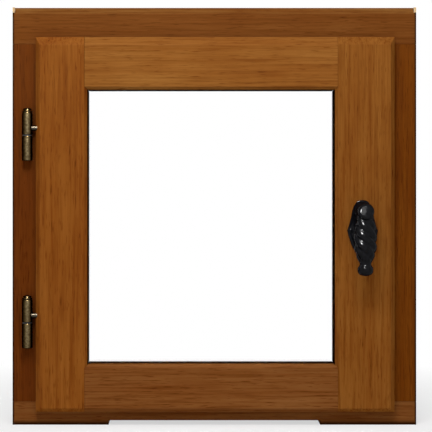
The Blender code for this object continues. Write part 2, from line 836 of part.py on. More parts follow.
def stile_zone(name, shoulder_x, glazing_x, outer_x):
    """A stile's space, over the whole height of the sash; the arguments are edges from the inside out."""
    inward = math.copysign(1, shoulder_x - outer_x)
    inner_x = shoulder_x + inward * MITRE_RUN
    low_mitre = SHOULDER.bottom - GAP
    top_mitre = SHOULDER.top + GAP
    low = LIP.bottom - PAST
    top = LIP.top + PAST
    outline = [
        (outer_x, low),
        (outer_x, top),
        (shoulder_x, top),
        (shoulder_x, top_mitre),
        (inner_x, top_mitre - MITRE_RUN),
        (inner_x, low_mitre + MITRE_RUN),
        (shoulder_x, low_mitre),
        (shoulder_x, low),
    ]
    behind_xs = sorted((glazing_x, outer_x - inward * BITE))
    return member_zone(name, outline, NIB_BACK, behind_xs, NIB_BACK - BITE, (low - BITE, top + BITE))


def rail_tenons(name, zs, gap):
    """Both tenons of a rail in one bar, or with a gap their mortises."""
    low = NIB_BACK + SASH_TENON_INSET
    bar = block(
        name,
        (GLAZING.left - SASH_TENON_LENGTH - gap, GLAZING.right + SASH_TENON_LENGTH + gap),
        (low - gap, low + SASH_TENON_THICKNESS + gap),
        (zs[0] - gap, zs[1] + gap),
    )
    return settled(bar)


def sash_blank():
    """The whole sash in one piece, which the joints then divide into stiles and rails."""
    splays = (EDGE_SIDE, EDGE_SIDE, EDGE_BOTTOM, EDGE_TOP)
    blank = splayed_block("sash_blank", LIP, SASH_FRONT, LIP_BACK, EDGE_DEPTH, splays)
    body = block(
        "sash_body", (BODY.left, BODY.right), (LIP_BACK - BITE, SASH_BACK), (BODY.bottom, BODY.top)
    )
    reach = INNER_CHAMFER + PAST
    opening = splayed_block(
        "sash_opening", SIGHT, SASH_FRONT - PAST, SASH_BACK + PAST, reach, (-reach,) * 4
    )
    rebate = block(
        "sash_rebate",
        (GLAZING.left, GLAZING.right),
        (NIB_BACK, SASH_BACK + PAST),
        (GLAZING.bottom, GLAZING.top),
    )
    join(settled(blank), settled(body))
    cut(blank, settled(opening), settled(rebate))
    return blank


def build_sash():
    blank = sash_blank()
    rails = {
        "top": (SHOULDER.top, LIP.top + PAST),
        "bottom": (SHOULDER.bottom, LIP.bottom - PAST),
    }
    stiles = {
        "hinge": (SHOULDER.left, GLAZING.left, LIP.left - PAST),
        "lock": (SHOULDER.right, GLAZING.right, LIP.right + PAST),
    }
    tenon_heights = {
        "top": (GLAZING.top + SASH_TENON_SHOULDER, BODY.top - SASH_TENON_SHOULDER),
        "bottom": (BODY.bottom + SASH_TENON_SHOULDER, GLAZING.bottom - SASH_TENON_SHOULDER),
    }
    members = {}
    for name, edges in rails.items():
        rail = solid_copy(f"sash_rail_{name}", blank)
        boolean(rail, rail_zone(f"zone_{name}", *edges), "INTERSECT")
        join(rail, rail_tenons(f"tenons_{name}", tenon_heights[name], 0))
        members[name] = rail
    for name, edges in stiles.items():
        stile = solid_copy(f"sash_stile_{name}", blank)
        boolean(stile, stile_zone(f"zone_{name}", *edges), "INTERSECT")
        for rail_name, zs in tenon_heights.items():
            cut(stile, rail_tenons(f"mortise_{rail_name}_{name}", zs, GAP))
        members[name] = stile
    for member in members.values():
        part(member, "varnished_hardwood", sash_pivot)
    return members


# Glazing


def build_glazing():
    panes = (
        ("glass_inner", INNER_PANE_FRONT, INNER_PANE_BACK),
        ("glass_outer", OUTER_PANE_FRONT, OUTER_PANE_BACK),
    )
    for name, front, back in panes:
        pane = block(name, (PANE.left, PANE.right), (front, back), (PANE.bottom, PANE.top))
        part(pane, "clear_glass", sash_pivot)
    spacer = ring_block(
        "glass_spacer",
        grown(PANE, -SPACER_INSET),
        grown(PANE, -SPACER_INSET - SPACER_WIDTH),
        INNER_PANE_BACK + GAP,
        OUTER_PANE_FRONT - GAP,
    )
    part(spacer, "aluminium", sash_pivot)
    seals = (
        ("glazing_seal_inner", NIB_BACK + GAP, INNER_PANE_FRONT - GAP),
        ("glazing_seal_outer", OUTER_PANE_BACK + GAP, BEAD_FRONT - GAP),
    )
    for name, front, back in seals:
        seal = ring_block(
            name,
            grown(SIGHT, SEAL_SETBACK + SEAL_WIDTH),
            grown(SIGHT, SEAL_SETBACK),
            front,
            back,
        )
        part(seal, "black_rubber", sash_pivot)
    for name, middle in (
        ("left", GLAZING.left + SETTING_BLOCK_INSET),
        ("right", GLAZING.right - SETTING_BLOCK_INSET),
    ):
        rest = block(
            f"setting_block_{name}",
            (middle - SETTING_BLOCK_LENGTH / 2, middle + SETTING_BLOCK_LENGTH / 2),
            (INNER_PANE_FRONT, OUTER_PANE_BACK),
            (GLAZING.bottom + GAP, PANE.bottom - GAP),
        )
        part(rest, "nylon", sash_pivot)


def corners(rect):
    """The corners of an outline as X and Z, clockwise from the top left."""
    across = (rect.left, rect.right, rect.right, rect.left)
    up = (rect.top, rect.top, rect.bottom, rect.bottom)
    return [Vector(point) for point in zip(across, up)]


def build_beads():
    """Four mitred glazing beads on the weather side, with the arris off where they meet the daylight."""
    outer = corners(grown(GLAZING, -GAP))
    inner = corners(SIGHT)
    reach = BEAD_CHAMFER + PAST
    start = SASH_BACK - BEAD_CHAMFER
    chamfer = splayed_block(
        "bead_chamfer", grown(SIGHT, reach), start, start + reach + PAST, reach, (reach,) * 4
    )
    for i, name in enumerate(("top", "right", "bottom", "left")):
        j = (i + 1) % len(outer)
        along = (outer[j] - outer[i]).normalized() * GAP / math.sqrt(2)
        outline = (outer[i] + along, outer[j] - along, inner[j] - along, inner[i] + along)
        bead = prism(f"glazing_bead_{name}", outline, "XZ", BEAD_FRONT, SASH_BACK)
        cut(bead, chamfer)
        part(bead, "varnished_hardwood", sash_pivot)


def build_weather_bar():
    front = SASH_BACK + GAP
    nose = SASH_BACK + WEATHER_BAR_PROJECTION
    bottom = STOP.bottom + WEATHER_BAR_CLEARANCE
    outline = [
        (front, bottom),
        (nose, bottom),
        (nose, bottom + WEATHER_BAR_NOSE_HEIGHT),
        (front + WEATHER_BAR_TOP_FLAT, bottom + WEATHER_BAR_BACK_HEIGHT),
        (front, bottom + WEATHER_BAR_BACK_HEIGHT),
    ]
    left = STOP.left + WEATHER_BAR_SIDE_CLEARANCE
    right = STOP.right - WEATHER_BAR_SIDE_CLEARANCE
    bar = prism("weather_bar", outline, "YZ", left, right)
    drip_y = nose - 2 * DRIP_GROOVE
    drip = block(
        "weather_bar_drip",
        (left - PAST, right + PAST),
        (drip_y - DRIP_GROOVE / 2, drip_y + DRIP_GROOVE / 2),
        (bottom - PAST, bottom + DRIP_GROOVE / 2),
    )
    cut(bar, drip)
    part(bar, "varnished_hardwood", sash_pivot)


# Hinges


def knuckle_profile(length, bore_depth, bore_from_top):
    """A barrel from height 0 to length, eased at both ends, with a blind bore for the pin."""
    bore = PIN_RADIUS + GAP
    edge = KNUCKLE_EDGE
    outer = [
        (KNUCKLE_RADIUS - edge, length),
        (KNUCKLE_RADIUS, length - edge),
        (KNUCKLE_RADIUS, edge),
        (KNUCKLE_RADIUS - edge, 0),
    ]
    if bore_from_top:
        return [(0, length - bore_depth), (bore, length - bore_depth), (bore, length), *outer, (0, 0)]
    return [(0, length), *outer, (bore, 0), (bore, bore_depth), (0, bore_depth)]


def stem(name, axis_point, direction, material, carrier, knuckle, wood):
    """A threaded stem from a socket in its knuckle into a bored hole in the wood."""
    start = axis_point + direction * (KNUCKLE_RADIUS - STEM_SOCKET + GAP)
    end = start + direction * STEM_LENGTH
    point = STEM_RADIUS / 2
    length = STEM_LENGTH
    profile = [
        (0, length),
        (STEM_RADIUS - point, length),
        (STEM_RADIUS, length - point),
        (STEM_RADIUS, 0),
        (0, 0),
    ]
    obj = turned(name, profile, start, direction, steps=ROUND_STEPS)
    hole = peg(name + "_hole", start - direction * GAP, end + direction * GAP, STEM_RADIUS + GAP)
    cut(knuckle, hole)
    cut(wood, hole)
    part(obj, material, carrier, smooth=True)


def build_hinge(name, split, jamb, stile):
    axis = Vector((HINGE_X, HINGE_Y, 0))
    half_washer = WASHER_THICKNESS / 2 + GAP
    low_length = KNUCKLE_BELOW - half_washer
    low_base = axis + Z_AXIS * (split - KNUCKLE_BELOW)
    half_pin = PIN_LENGTH / 2
    low_bore = half_pin + GAP - half_washer
    frame_knuckle = turned(
        f"{name}_hinge_frame_knuckle", knuckle_profile(low_length, low_bore, True), low_base, Z_AXIS
    )
    high_length = KNUCKLE_ABOVE - half_washer
    high_base = axis + Z_AXIS * (split + half_washer)
    sash_knuckle = turned(
        f"{name}_hinge_sash_knuckle", knuckle_profile(high_length, low_bore, False), high_base, Z_AXIS
    )
    pin_profile = [
        (0, half_pin),
        (PIN_RADIUS - KNUCKLE_EDGE, half_pin),
        (PIN_RADIUS, half_pin - KNUCKLE_EDGE),
        (PIN_RADIUS, -half_pin),
        (0, -half_pin),
    ]
    pin = turned(f"{name}_hinge_pin", pin_profile, axis + Z_AXIS * split, Z_AXIS)
    washer_profile = [
        (KNUCKLE_RADIUS - KNUCKLE_EDGE / 2, WASHER_THICKNESS / 2),
        (KNUCKLE_RADIUS - KNUCKLE_EDGE / 2, -WASHER_THICKNESS / 2),
        (PIN_RADIUS + GAP, -WASHER_THICKNESS / 2),
        (PIN_RADIUS + GAP, WASHER_THICKNESS / 2),
    ]
    washer = turned(
        f"{name}_hinge_washer", washer_profile, axis + Z_AXIS * split, Z_AXIS, ring=True
    )
    cap_profile = [(KNUCKLE_RADIUS * across, CAP_HEIGHT * up) for across, up in CAP_SHAPE]
    cap_base = axis + Z_AXIS * (split + KNUCKLE_ABOVE + GAP)
    cap = turned(f"{name}_hinge_cap", cap_profile, cap_base, Z_AXIS)
    stem(
        f"{name}_hinge_frame_stem",
        axis + Z_AXIS * (split - STEM_RISE),
        Y_AXIS,
        "bright_steel",
        frame_body,
        frame_knuckle,
        jamb,
    )
    stem(
        f"{name}_hinge_sash_stem",
        axis + Z_AXIS * (split + STEM_RISE),
        X_AXIS,
        "bright_steel",
        sash_pivot,
        sash_knuckle,
        stile,
    )
    part(frame_knuckle, "bronzed_steel", frame_body, smooth=True)
    part(pin, "bright_steel", frame_body, smooth=True)
    part(washer, "nylon", frame_body)
    part(sash_knuckle, "bronzed_steel", sash_pivot, smooth=True)
    part(cap, "bronzed_steel", sash_pivot, smooth=True)


# Handle


def grip_radius(share):
    """Radius of the grip at a share of the handle's length below its axis."""
    for (low, small), (high, large) in zip(GRIP_SHAPE, GRIP_SHAPE[1:]):
        if share <= high:
            break
    return GRIP_RADIUS * (small + (large - small) * (share - low) / (high - low))


def grip_ring(share):
    """One ring of the grip: its lobes turn with the distance down, and fade out before the knob."""
    down = HANDLE_LENGTH * share
    radius = grip_radius(share)
    fade = math.sin(math.pi * min(1.0, share / GRIP_LOBES_END))
    twist = 2 * math.pi * down / GRIP_TWIST_PITCH
    points = []
    for i in range(GRIP_SIDES):
        angle = 2 * math.pi * i / GRIP_SIDES
        swell = 1 + GRIP_LOBE_SHARE * fade * (math.cos(GRIP_LOBES * (angle - twist)) - 1)
        across = HANDLE_X + radius * swell * math.sin(angle)
        back = SASH_FRONT - GRIP_AXIS - radius * swell * math.cos(angle)
        points.append((across, back, HANDLE_Z - down))
    return points


def backplate_outline():
    half = BACKPLATE_HALF_WIDTH
    right = [(HANDLE_X + half * across, HANDLE_Z + up) for across, up in BACKPLATE_SHAPE]
    left = [(HANDLE_X - half * across, HANDLE_Z + up) for across, up in reversed(BACKPLATE_SHAPE)]
    return right + left


def build_handle(stile):
    axis = Vector((HANDLE_X, SASH_FRONT, HANDLE_Z))
    plate_front = SASH_FRONT - GAP - BACKPLATE_THICKNESS
    plate = prism(
        "handle_backplate", backplate_outline(), "XZ", plate_front, SASH_FRONT - GAP
    )
    bevel = plate.modifiers.new("Eased edge", "BEVEL")
    bevel.width = BACKPLATE_EDGE
    bevel.segments = 1
    bevel.limit_method = "ANGLE"
    bevel.angle_limit = math.radians(60)
    plate_hole = peg(
        "plate_hole", axis - Y_AXIS * PAST, axis + Y_AXIS * PAST, BUSH_RADIUS + GAP
    )
    cut(plate, plate_hole)
    for name, side in (("left", -1), ("right", 1)):
        head = Vector(
            (
                HANDLE_X + side * BACKPLATE_SCREW_REACH,
                plate_front,
                HANDLE_Z - BACKPLATE_POINTS,
            )
        )
        screw(
            f"backplate_screw_{name}",
            head,
            TO_ROOM,
            WOOD_SCREW_LENGTH,
            "black_iron",
            sash_pivot,
            (plate, stile),
        )
    part(plate, "black_iron", sash_pivot)

    bush_profile = [
        (BUSH_RADIUS, BUSH_LENGTH),
        (BUSH_RADIUS, GAP),
        (BUSH_BORE, GAP),
        (BUSH_BORE, BUSH_LENGTH),
    ]
    bush = turned("handle_bush", bush_profile, axis, TO_ROOM, ring=True)
    part(bush, "nylon", sash_pivot, smooth=True)

    foot = BUSH_LENGTH + GAP
    boss_profile = [
        (BOSS_RADIUS * across, HANDLE_PROJECTION - back) for across, back in BOSS_CROWN
    ]
    boss_profile += [
        (BOSS_RADIUS, GRIP_AXIS - BOSS_RADIUS),
        (BOSS_WAIST_RADIUS, GRIP_AXIS - BOSS_RADIUS - BOSS_SHOULDER),
        (BOSS_WAIST_RADIUS, foot + 2 * BOSS_FOOT_THICKNESS),
        (BOSS_FOOT_RADIUS, foot + BOSS_FOOT_THICKNESS),
        (BOSS_FOOT_RADIUS, foot),
        (NECK_RADIUS, foot),
        (NECK_RADIUS, GAP),
        (0, GAP),
    ]
    lever = turned("handle_lever", boss_profile, axis, TO_ROOM)
    rings = [grip_ring(i / GRIP_RINGS) for i in range(GRIP_RINGS + 1)]
    join(lever, loft("handle_grip", rings))
    half_socket = SPINDLE_SIDE / 2 + GAP
    socket = block(
        "spindle_socket",
        (HANDLE_X - half_socket, HANDLE_X + half_socket),
        (SASH_FRONT - SPINDLE_SOCKET_DEPTH - GAP, SASH_FRONT + PAST),
        (HANDLE_Z - half_socket, HANDLE_Z + half_socket),
    )
    grub_axis = axis + TO_ROOM * GRUB_REACH
    grub_low = SPINDLE_SIDE / 2 + GAP
    grub_high = BOSS_WAIST_RADIUS - GAP
    grub_hole = peg(
        "grub_hole",
        grub_axis + Z_AXIS * GAP,
        grub_axis + Z_AXIS * (BOSS_RADIUS + PAST),
        GRUB_RADIUS + GAP,
        SCREW_STEPS,
    )
    cut(lever, socket, grub_hole)
    part(lever, "black_iron", handle_pivot, smooth=True)

    grub = peg(
        "handle_grub_screw",
        grub_axis + Z_AXIS * grub_low,
        grub_axis + Z_AXIS * grub_high,
        GRUB_RADIUS,
        SCREW_STEPS,
    )
    part(grub, "zinc_steel", handle_pivot)
    half = SPINDLE_SIDE / 2
    spindle = block(
        "handle_spindle",
        (HANDLE_X - half, HANDLE_X + half),
        (SASH_FRONT - SPINDLE_SOCKET_DEPTH, ROD_Y + PINION_THICKNESS / 2),
        (HANDLE_Z - half, HANDLE_Z + half),
    )
    part(spindle, "zinc_steel", handle_pivot)
    bore = peg(
        "spindle_bore", axis - Y_AXIS * PAST, Vector((HANDLE_X, ROD_Y, HANDLE_Z)), PINION_HUB_RADIUS
    )
    cut(stile, bore)


# Espagnolette


def involute(angle):
    return math.tan(angle) - angle


def tooth_half_angle(radius):
    """Half the angle that a pinion tooth fills at a radius."""
    base = PITCH_RADIUS * math.cos(PRESSURE_ANGLE)
    flank = math.acos(min(1.0, base / radius))
    at_pitch = math.pi / (2 * PINION_TEETH) - TOOTH_THINNING / (2 * PITCH_RADIUS)
    return at_pitch + involute(PRESSURE_ANGLE) - involute(flank)


def pinion_outline():
    root = PITCH_RADIUS - TOOTH_DEDENDUM
    tip = PITCH_RADIUS + TOOTH_ADDENDUM
    base = PITCH_RADIUS * math.cos(PRESSURE_ANGLE)
    radii = (root, base, (base + PITCH_RADIUS) / 2, PITCH_RADIUS, (PITCH_RADIUS + tip) / 2, tip)
    outline = []
    for tooth in range(PINION_TEETH):
        centre = 2 * math.pi * tooth / PINION_TEETH
        flank = [(radius, centre - tooth_half_angle(radius)) for radius in radii]
        flank += [(radius, centre + tooth_half_angle(radius)) for radius in reversed(radii)]
        for radius, angle in flank:
            across = HANDLE_X + radius * math.cos(angle)
            up = HANDLE_Z + radius * math.sin(angle)
            outline.append((across, up))
    return outline


def rack_outline(side):
    """The toothed bar of a rod: side 1 is the upper rod's, right of the pinion, and -1 the lower's."""
    half_at_pitch = TOOTH_PITCH / 4 - TOOTH_THINNING / 2
    slope = math.tan(PRESSURE_ANGLE)
    tip_x = PITCH_RADIUS - TOOTH_ADDENDUM
    root_x = PITCH_RADIUS + TOOTH_DEDENDUM
    tip_half = half_at_pitch - TOOTH_ADDENDUM * slope
    root_half = half_at_pitch + TOOTH_DEDENDUM * slope
    low = -RACK_TEETH_BELOW * TOOTH_PITCH
    high = RACK_TEETH_ABOVE * TOOTH_PITCH
    outline = [(RACK_BACK, low), (RACK_BACK, high), (root_x, high)]
    for tooth in range(RACK_TEETH_ABOVE - 1, -RACK_TEETH_BELOW - 1, -1):
        centre = (tooth + 0.5) * TOOTH_PITCH
        outline += [
            (root_x, centre + root_half),
            (tip_x, centre + tip_half),
            (tip_x, centre - tip_half),
            (root_x, centre - root_half),
        ]
    outline.append((root_x, low))
    return [(HANDLE_X + side * across, HANDLE_Z + side * up) for across, up in outline]


def build_rod(name, side, tip_z, slide, stile):
    """A bolt rod: a toothed bar in the gearbox and a round bolt up or down to its keeper."""
    half = RACK_THICKNESS / 2
    rod = prism(name, rack_outline(side), "XZ", ROD_Y - half, ROD_Y + half)
    x = HANDLE_X + side * ROD_OFFSET
    start = Vector((x, ROD_Y, HANDLE_Z + side * (RACK_TEETH_ABOVE * TOOTH_PITCH - BITE)))
    length = side * (tip_z - start.z)
    profile = [
        (0, length),
        (ROD_RADIUS - BOLT_TIP_CHAMFER, length),
        (ROD_RADIUS, length - BOLT_TIP_CHAMFER),
        (ROD_RADIUS, 0),
        (0, 0),
    ]
    join(rod, turned(name + "_bolt", profile, start, Z_AXIS * side))
    past_end = Vector((x, ROD_Y, tip_z + side * PAST))
    case_end = Vector((x, ROD_Y, HANDLE_Z + side * (POCKET_HALF_HEIGHT - BITE)))
    channel = peg(name + "_channel", case_end, past_end, ROD_RADIUS + GAP)
    cut(stile, channel)
    part(rod, "zinc_steel", slide)
    return channel


def build_keeper(name, side, rebate_z, wood):
    """A keeper let in flush with the rebate's face, over a bored hole that takes the bolt."""
    x = HANDLE_X + side * ROD_OFFSET
    inner_z = rebate_z + side * KEEPER_THICKNESS
    half_length = KEEPER_LENGTH / 2
    half_width = KEEPER_WIDTH / 2
    plate = block(
        name,
        (x - half_length, x + half_length),
        (ROD_Y - half_width, ROD_Y + half_width),
        sorted((rebate_z, inner_z)),
    )
    seat = block(
        name + "_seat",
        (x - half_length - GAP, x + half_length + GAP),
        (ROD_Y - half_width - GAP, ROD_Y + half_width + GAP),
        sorted((rebate_z - side * PAST, inner_z + side * GAP)),
    )
    cut(wood, seat)
    middle = Vector((x, ROD_Y, rebate_z))
    hole = peg(
        name + "_hole",
        middle - Z_AXIS * side * PAST,
        middle + Z_AXIS * side * KEEPER_HOLE_DEPTH,
        ROD_RADIUS + KEEPER_HOLE_CLEARANCE,
    )
    cut(plate, hole)
    cut(wood, hole)
    for end, reach in (("a", -KEEPER_SCREW_REACH), ("b", KEEPER_SCREW_REACH)):
        screw(
            f"{name}_screw_{end}",
            middle + X_AXIS * reach,
            -Z_AXIS * side,
            WOOD_SCREW_LENGTH,
            "zinc_steel",
            frame_body,
            (plate, wood),
        )
    part(plate, "zinc_steel", frame_body)


def build_espagnolette(stile, head, sill):
    case_right = BODY.right - FACEPLATE_THICKNESS - 2 * GAP
    case_xs = (HANDLE_X - CASE_SIDE, case_right)
    case_zs = (HANDLE_Z - CASE_HALF_HEIGHT, HANDLE_Z + CASE_HALF_HEIGHT)
    case = block("gearbox_case", case_xs, (CASE_FRONT, COVER_FRONT - GAP), case_zs)
    pocket = block(
        "gearbox_pocket",
        (HANDLE_X - POCKET_HALF_WIDTH, HANDLE_X + POCKET_HALF_WIDTH),
        (ROD_Y - POCKET_HALF_DEPTH, COVER_FRONT + PAST),
        (HANDLE_Z - POCKET_HALF_HEIGHT, HANDLE_Z + POCKET_HALF_HEIGHT),
    )
    hub_hole = peg(
        "gearbox_hub_hole",
        Vector((HANDLE_X, CASE_FRONT - PAST, HANDLE_Z)),
        Vector((HANDLE_X, ROD_Y, HANDLE_Z)),
        PINION_HUB_RADIUS + GAP,
    )
    cut(case, pocket, hub_hole)
    cover = block("gearbox_cover", case_xs, (COVER_FRONT, COVER_BACK), case_zs)
    mortise = block(
        "gearbox_mortise",
        (case_xs[0] - GAP, BODY.right + PAST),
        (CASE_FRONT - GAP, COVER_BACK + GAP),
        (case_zs[0] - GAP, case_zs[1] + GAP),
    )
    cut(stile, mortise)

    half_width = FACEPLATE_WIDTH / 2
    plate_zs = (HANDLE_Z - FACEPLATE_HALF_HEIGHT, HANDLE_Z + FACEPLATE_HALF_HEIGHT)
    faceplate = block(
        "lock_faceplate",
        (BODY.right - FACEPLATE_THICKNESS, BODY.right),
        (ROD_Y - half_width, ROD_Y + half_width),
        plate_zs,
    )
    seat = block(
        "faceplate_seat",
        (BODY.right - FACEPLATE_THICKNESS - GAP, BODY.right + PAST),
        (ROD_Y - half_width - GAP, ROD_Y + half_width + GAP),
        (plate_zs[0] - GAP, plate_zs[1] + GAP),
    )
    cut(stile, seat)
    screw_reach = FACEPLATE_HALF_HEIGHT - FACEPLATE_SCREW_INSET
    for name, reach in (("upper", screw_reach), ("lower", -screw_reach)):
        head_at = Vector((BODY.right, ROD_Y, HANDLE_Z + reach))
        screw(
            f"faceplate_screw_{name}",
            head_at,
            X_AXIS,
            FACEPLATE_SCREW_LENGTH,
            "zinc_steel",
            sash_pivot,
            (faceplate, stile),
        )
    part(faceplate, "zinc_steel", sash_pivot)

    half = PINION_THICKNESS / 2
    pinion = prism("gearbox_pinion", pinion_outline(), "XZ", ROD_Y - half, ROD_Y + half)
    hub = peg(
        "pinion_hub",
        Vector((HANDLE_X, CASE_FRONT + GAP, HANDLE_Z)),
        Vector((HANDLE_X, ROD_Y - half + BITE, HANDLE_Z)),
        PINION_HUB_RADIUS,
    )
    join(pinion, hub)
    half_bore = SPINDLE_SIDE / 2 + GAP
    bore = block(
        "pinion_bore",
        (HANDLE_X - half_bore, HANDLE_X + half_bore),
        (CASE_FRONT - PAST, ROD_Y + PAST),
        (HANDLE_Z - half_bore, HANDLE_Z + half_bore),
    )
    cut(pinion, bore)
    part(pinion, "zinc_steel", handle_pivot)

    upper = build_rod("upper_rod", 1, REBATE.top - BOLT_TIP_GAP, upper_rod_slide, stile)
    lower = build_rod("lower_rod", -1, REBATE.bottom + BOLT_TIP_GAP, lower_rod_slide, stile)
    cut(case, upper, lower)
    part(case, "zinc_steel", sash_pivot)
    part(cover, "zinc_steel", sash_pivot)
    build_keeper("keeper_top", 1, REBATE.top, head)
    build_keeper("keeper_bottom", -1, REBATE.bottom, sill)


def main():
    frame_head, frame_sill, jamb_left, jamb_right = build_frame()
    build_weather_seal((frame_head, frame_sill, jamb_left, jamb_right))
    sash = build_sash()
    build_glazing()
    build_beads()
    build_weather_bar()
    for name, split in HINGE_SPLITS.items():
        build_hinge(name, split, jamb_left, sash["hinge"])
    build_handle(sash["lock"])
    build_espagnolette(sash["lock"], frame_head, frame_sill)


main()
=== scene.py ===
"""The looks of an inward-opening casement window: stained hardwood, antique hinges, a wrought-iron handle.

Metres, +Z up; the room side faces -Y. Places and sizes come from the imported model. The pieces made here
give its hinges and its handle their finer shapes, and every other part keeps its own shape and gets its
finish.
"""

import json
import math

import bmesh
import bpy
from mathutils import Matrix, Vector


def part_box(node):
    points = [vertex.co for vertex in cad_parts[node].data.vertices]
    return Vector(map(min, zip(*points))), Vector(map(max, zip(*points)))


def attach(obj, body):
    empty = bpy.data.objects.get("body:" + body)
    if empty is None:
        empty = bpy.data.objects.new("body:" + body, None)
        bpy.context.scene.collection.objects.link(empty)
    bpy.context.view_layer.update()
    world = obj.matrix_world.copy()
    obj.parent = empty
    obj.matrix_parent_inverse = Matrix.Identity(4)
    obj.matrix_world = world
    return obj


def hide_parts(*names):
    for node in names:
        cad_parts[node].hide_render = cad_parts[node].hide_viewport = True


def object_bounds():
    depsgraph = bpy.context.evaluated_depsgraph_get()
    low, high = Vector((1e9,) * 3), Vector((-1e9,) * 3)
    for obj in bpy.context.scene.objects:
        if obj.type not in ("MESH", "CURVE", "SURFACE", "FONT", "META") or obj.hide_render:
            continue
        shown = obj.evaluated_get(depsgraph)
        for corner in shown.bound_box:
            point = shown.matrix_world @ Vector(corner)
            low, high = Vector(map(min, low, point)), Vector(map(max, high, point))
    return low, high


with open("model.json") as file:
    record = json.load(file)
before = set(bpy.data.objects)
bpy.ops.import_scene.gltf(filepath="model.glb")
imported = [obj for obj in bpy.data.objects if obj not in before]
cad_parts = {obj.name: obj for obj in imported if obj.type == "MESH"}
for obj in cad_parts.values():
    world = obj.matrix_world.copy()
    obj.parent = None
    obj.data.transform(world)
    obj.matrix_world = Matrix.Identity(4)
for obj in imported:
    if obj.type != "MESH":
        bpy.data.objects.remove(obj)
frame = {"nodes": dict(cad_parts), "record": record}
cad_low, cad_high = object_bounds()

NODES = frame["nodes"]
SLOTS = {piece["node"]: piece["material_slot"] for piece in frame["record"]["subparts"]}
JOINTS = {joint["name"]: joint for joint in frame["record"]["behaviour"]["joints"]}
MM = 0.001

# Wood: the brightest tone of each member, and the way its grain runs
FRAME_TONES = {
    # the head's tone is that of its top splay, painted lighter as lit from above
    "frame_head": ("#865a2c", "X"),
    "frame_jamb_left": ("#64310c", "Z"),
    "frame_jamb_right": ("#713e0d", "Z"),
    "frame_sill": ("#7e5028", "X"),
}
SASH_TONES = {
    "sash_rail_top": ("#91602b", "X"),
    "sash_rail_bottom": ("#82542b", "X"),
    "sash_stile_hinge": ("#8d5620", "Z"),
    "sash_stile_lock": ("#8b5924", "Z"),
    "glazing_bead_top": ("#8f5a2a", "X"),
    "glazing_bead_bottom": ("#8f5a2a", "X"),
    "glazing_bead_left": ("#8f5a2a", "Z"),
    "glazing_bead_right": ("#8f5a2a", "Z"),
    "weather_bar": ("#8f5a2a", "X"),
}
FIGURE_MM = (320, 15)  # along and across the grain: the broad bands of the figure
STREAK_MM = (75, 2.6)  # rays and growth lines, drawn a little wider than real so that they show
PORE_MM = (16, 1.1)  # real pores are a third of this width, which wouldn't show
PATCH_MM = 70  # where the stain took more or less
REVEAL_PAINTED_SHADE = "#2e1e12"  # painted shade on the walls of the sash's opening, where the real walls lie in shadow
HEAD_FACE_PAINTED_SHADE = "#dac5b4"  # painted shade on the head's face below its splay, so that the splay along the top edge stands lighter, as lit from above
HEAD_SPLAY = 8 * MM  # height of the splay along the head's top edge
RIM_PAINTED_SHADE = "#503824"  # painted shade along the eased outer arrises of the frame's face, where they turn into shadow
EASED_EDGE = 0.7 * MM
VARNISH_SHEEN = (0.12, 0)  # specular level facing the eye and edge on

# Hinges
PIN_CLEARANCE = 0.3 * MM
BARREL_STEPS = 48
BARREL_EDGE = 0.9 * MM
CAP_RING = 0.9 * MM
STEM_POINT = 1.5 * MM

# Handle
FLUTES = 4
FLUTE_DEPTH = 0.2
TWIST_PITCH = 52 * MM
TWIST_START = math.radians(-42)
FORGED_DETAIL = 0.55 * MM
GRIP_IN_FRONT = 34 * MM  # the grip's centre line in front of the sash's face
BOSS_BEHIND_GRIP = 5 * MM
BOSS_TILT = 0.40  # how far the boss leans back over its height, as a share
SPIGOT_RADIUS = 6.9 * MM  # the lever's end, which turns in the bush
SPIGOT_LENGTH = 5 * MM
BOSS_FOOT_RADIUS = 11 * MM
BOSS_WAIST_RADIUS = 8.6 * MM
BOSS_HEAD_LENGTH = 10 * MM  # the part of the boss that leans back
PLATE_EDGE = 1.6 * MM
BUSH_CLEARANCE = 0.3 * MM
PLATE_GROOVE = 0.35 * MM
SCREW_HEAD_RADIUS = 3.1 * MM
SCREW_HEAD_HEIGHT = 1.2 * MM
SCREW_SHANK_RADIUS = 1.5 * MM
SCREW_SLOT_WIDTH = 0.8 * MM
SCREW_SLOT_FLOOR = 0.45 * MM

# Camera and light
FRAME_VIEW_WIDTH = 0.5351  # width of the view at the frame's front face
VIEW_CENTRE = Vector((0.002, 0.2585))  # centre of the view there, in X and Z
CAMERA_PLACE = Vector((-0.036, -2.003, 0.314))
SENSOR = 36.0


# Materials


def colour(hex_code):
    """An sRGB hex value as linear red, green, blue and alpha."""
    channels = [int(hex_code[i : i + 2], 16) / 255 for i in (1, 3, 5)]
    return (*(c / 12.92 if c <= 0.04045 else ((c + 0.055) / 1.055) ** 2.4 for c in channels), 1.0)


def add(tree, kind, settings, links=()):
    """Adds a node. Settings name its properties, its sockets or a ramp's stops.

    Links are pairs of a socket of the node and the output that feeds it.
    """
    node = tree.nodes.new(kind)
    for name, value in settings.items():
        if name == "stops":
            stops = node.color_ramp.elements
            while len(stops) < len(value):
                stops.new(1.0)
            for stop, (position, shade) in zip(stops, value):
                stop.position = position
                stop.color = colour(shade)
        elif isinstance(name, str) and hasattr(node, name):
            setattr(node, name, value)
        else:
            node.inputs[name].default_value = value
    for socket, source in links:
        tree.links.new(source, node.inputs[socket])
    return node


def new_material(name, **settings):
    """A material with a Principled shader; settings name the shader's sockets, with _ for a space."""
    material = bpy.data.materials.new(name)
    material.use_nodes = True
    shader = material.node_tree.nodes["Principled BSDF"]
    for socket, value in settings.items():
        shader.inputs[socket.replace("_", " ")].default_value = value
    return material, material.node_tree, shader


def grained(along, sizes_mm):
    """The scale of a pattern that is long along the grain and narrow across it."""
    long, narrow = (1 / (size * MM) for size in sizes_mm)
    return (long, narrow, narrow) if along == "X" else (narrow, narrow, long)


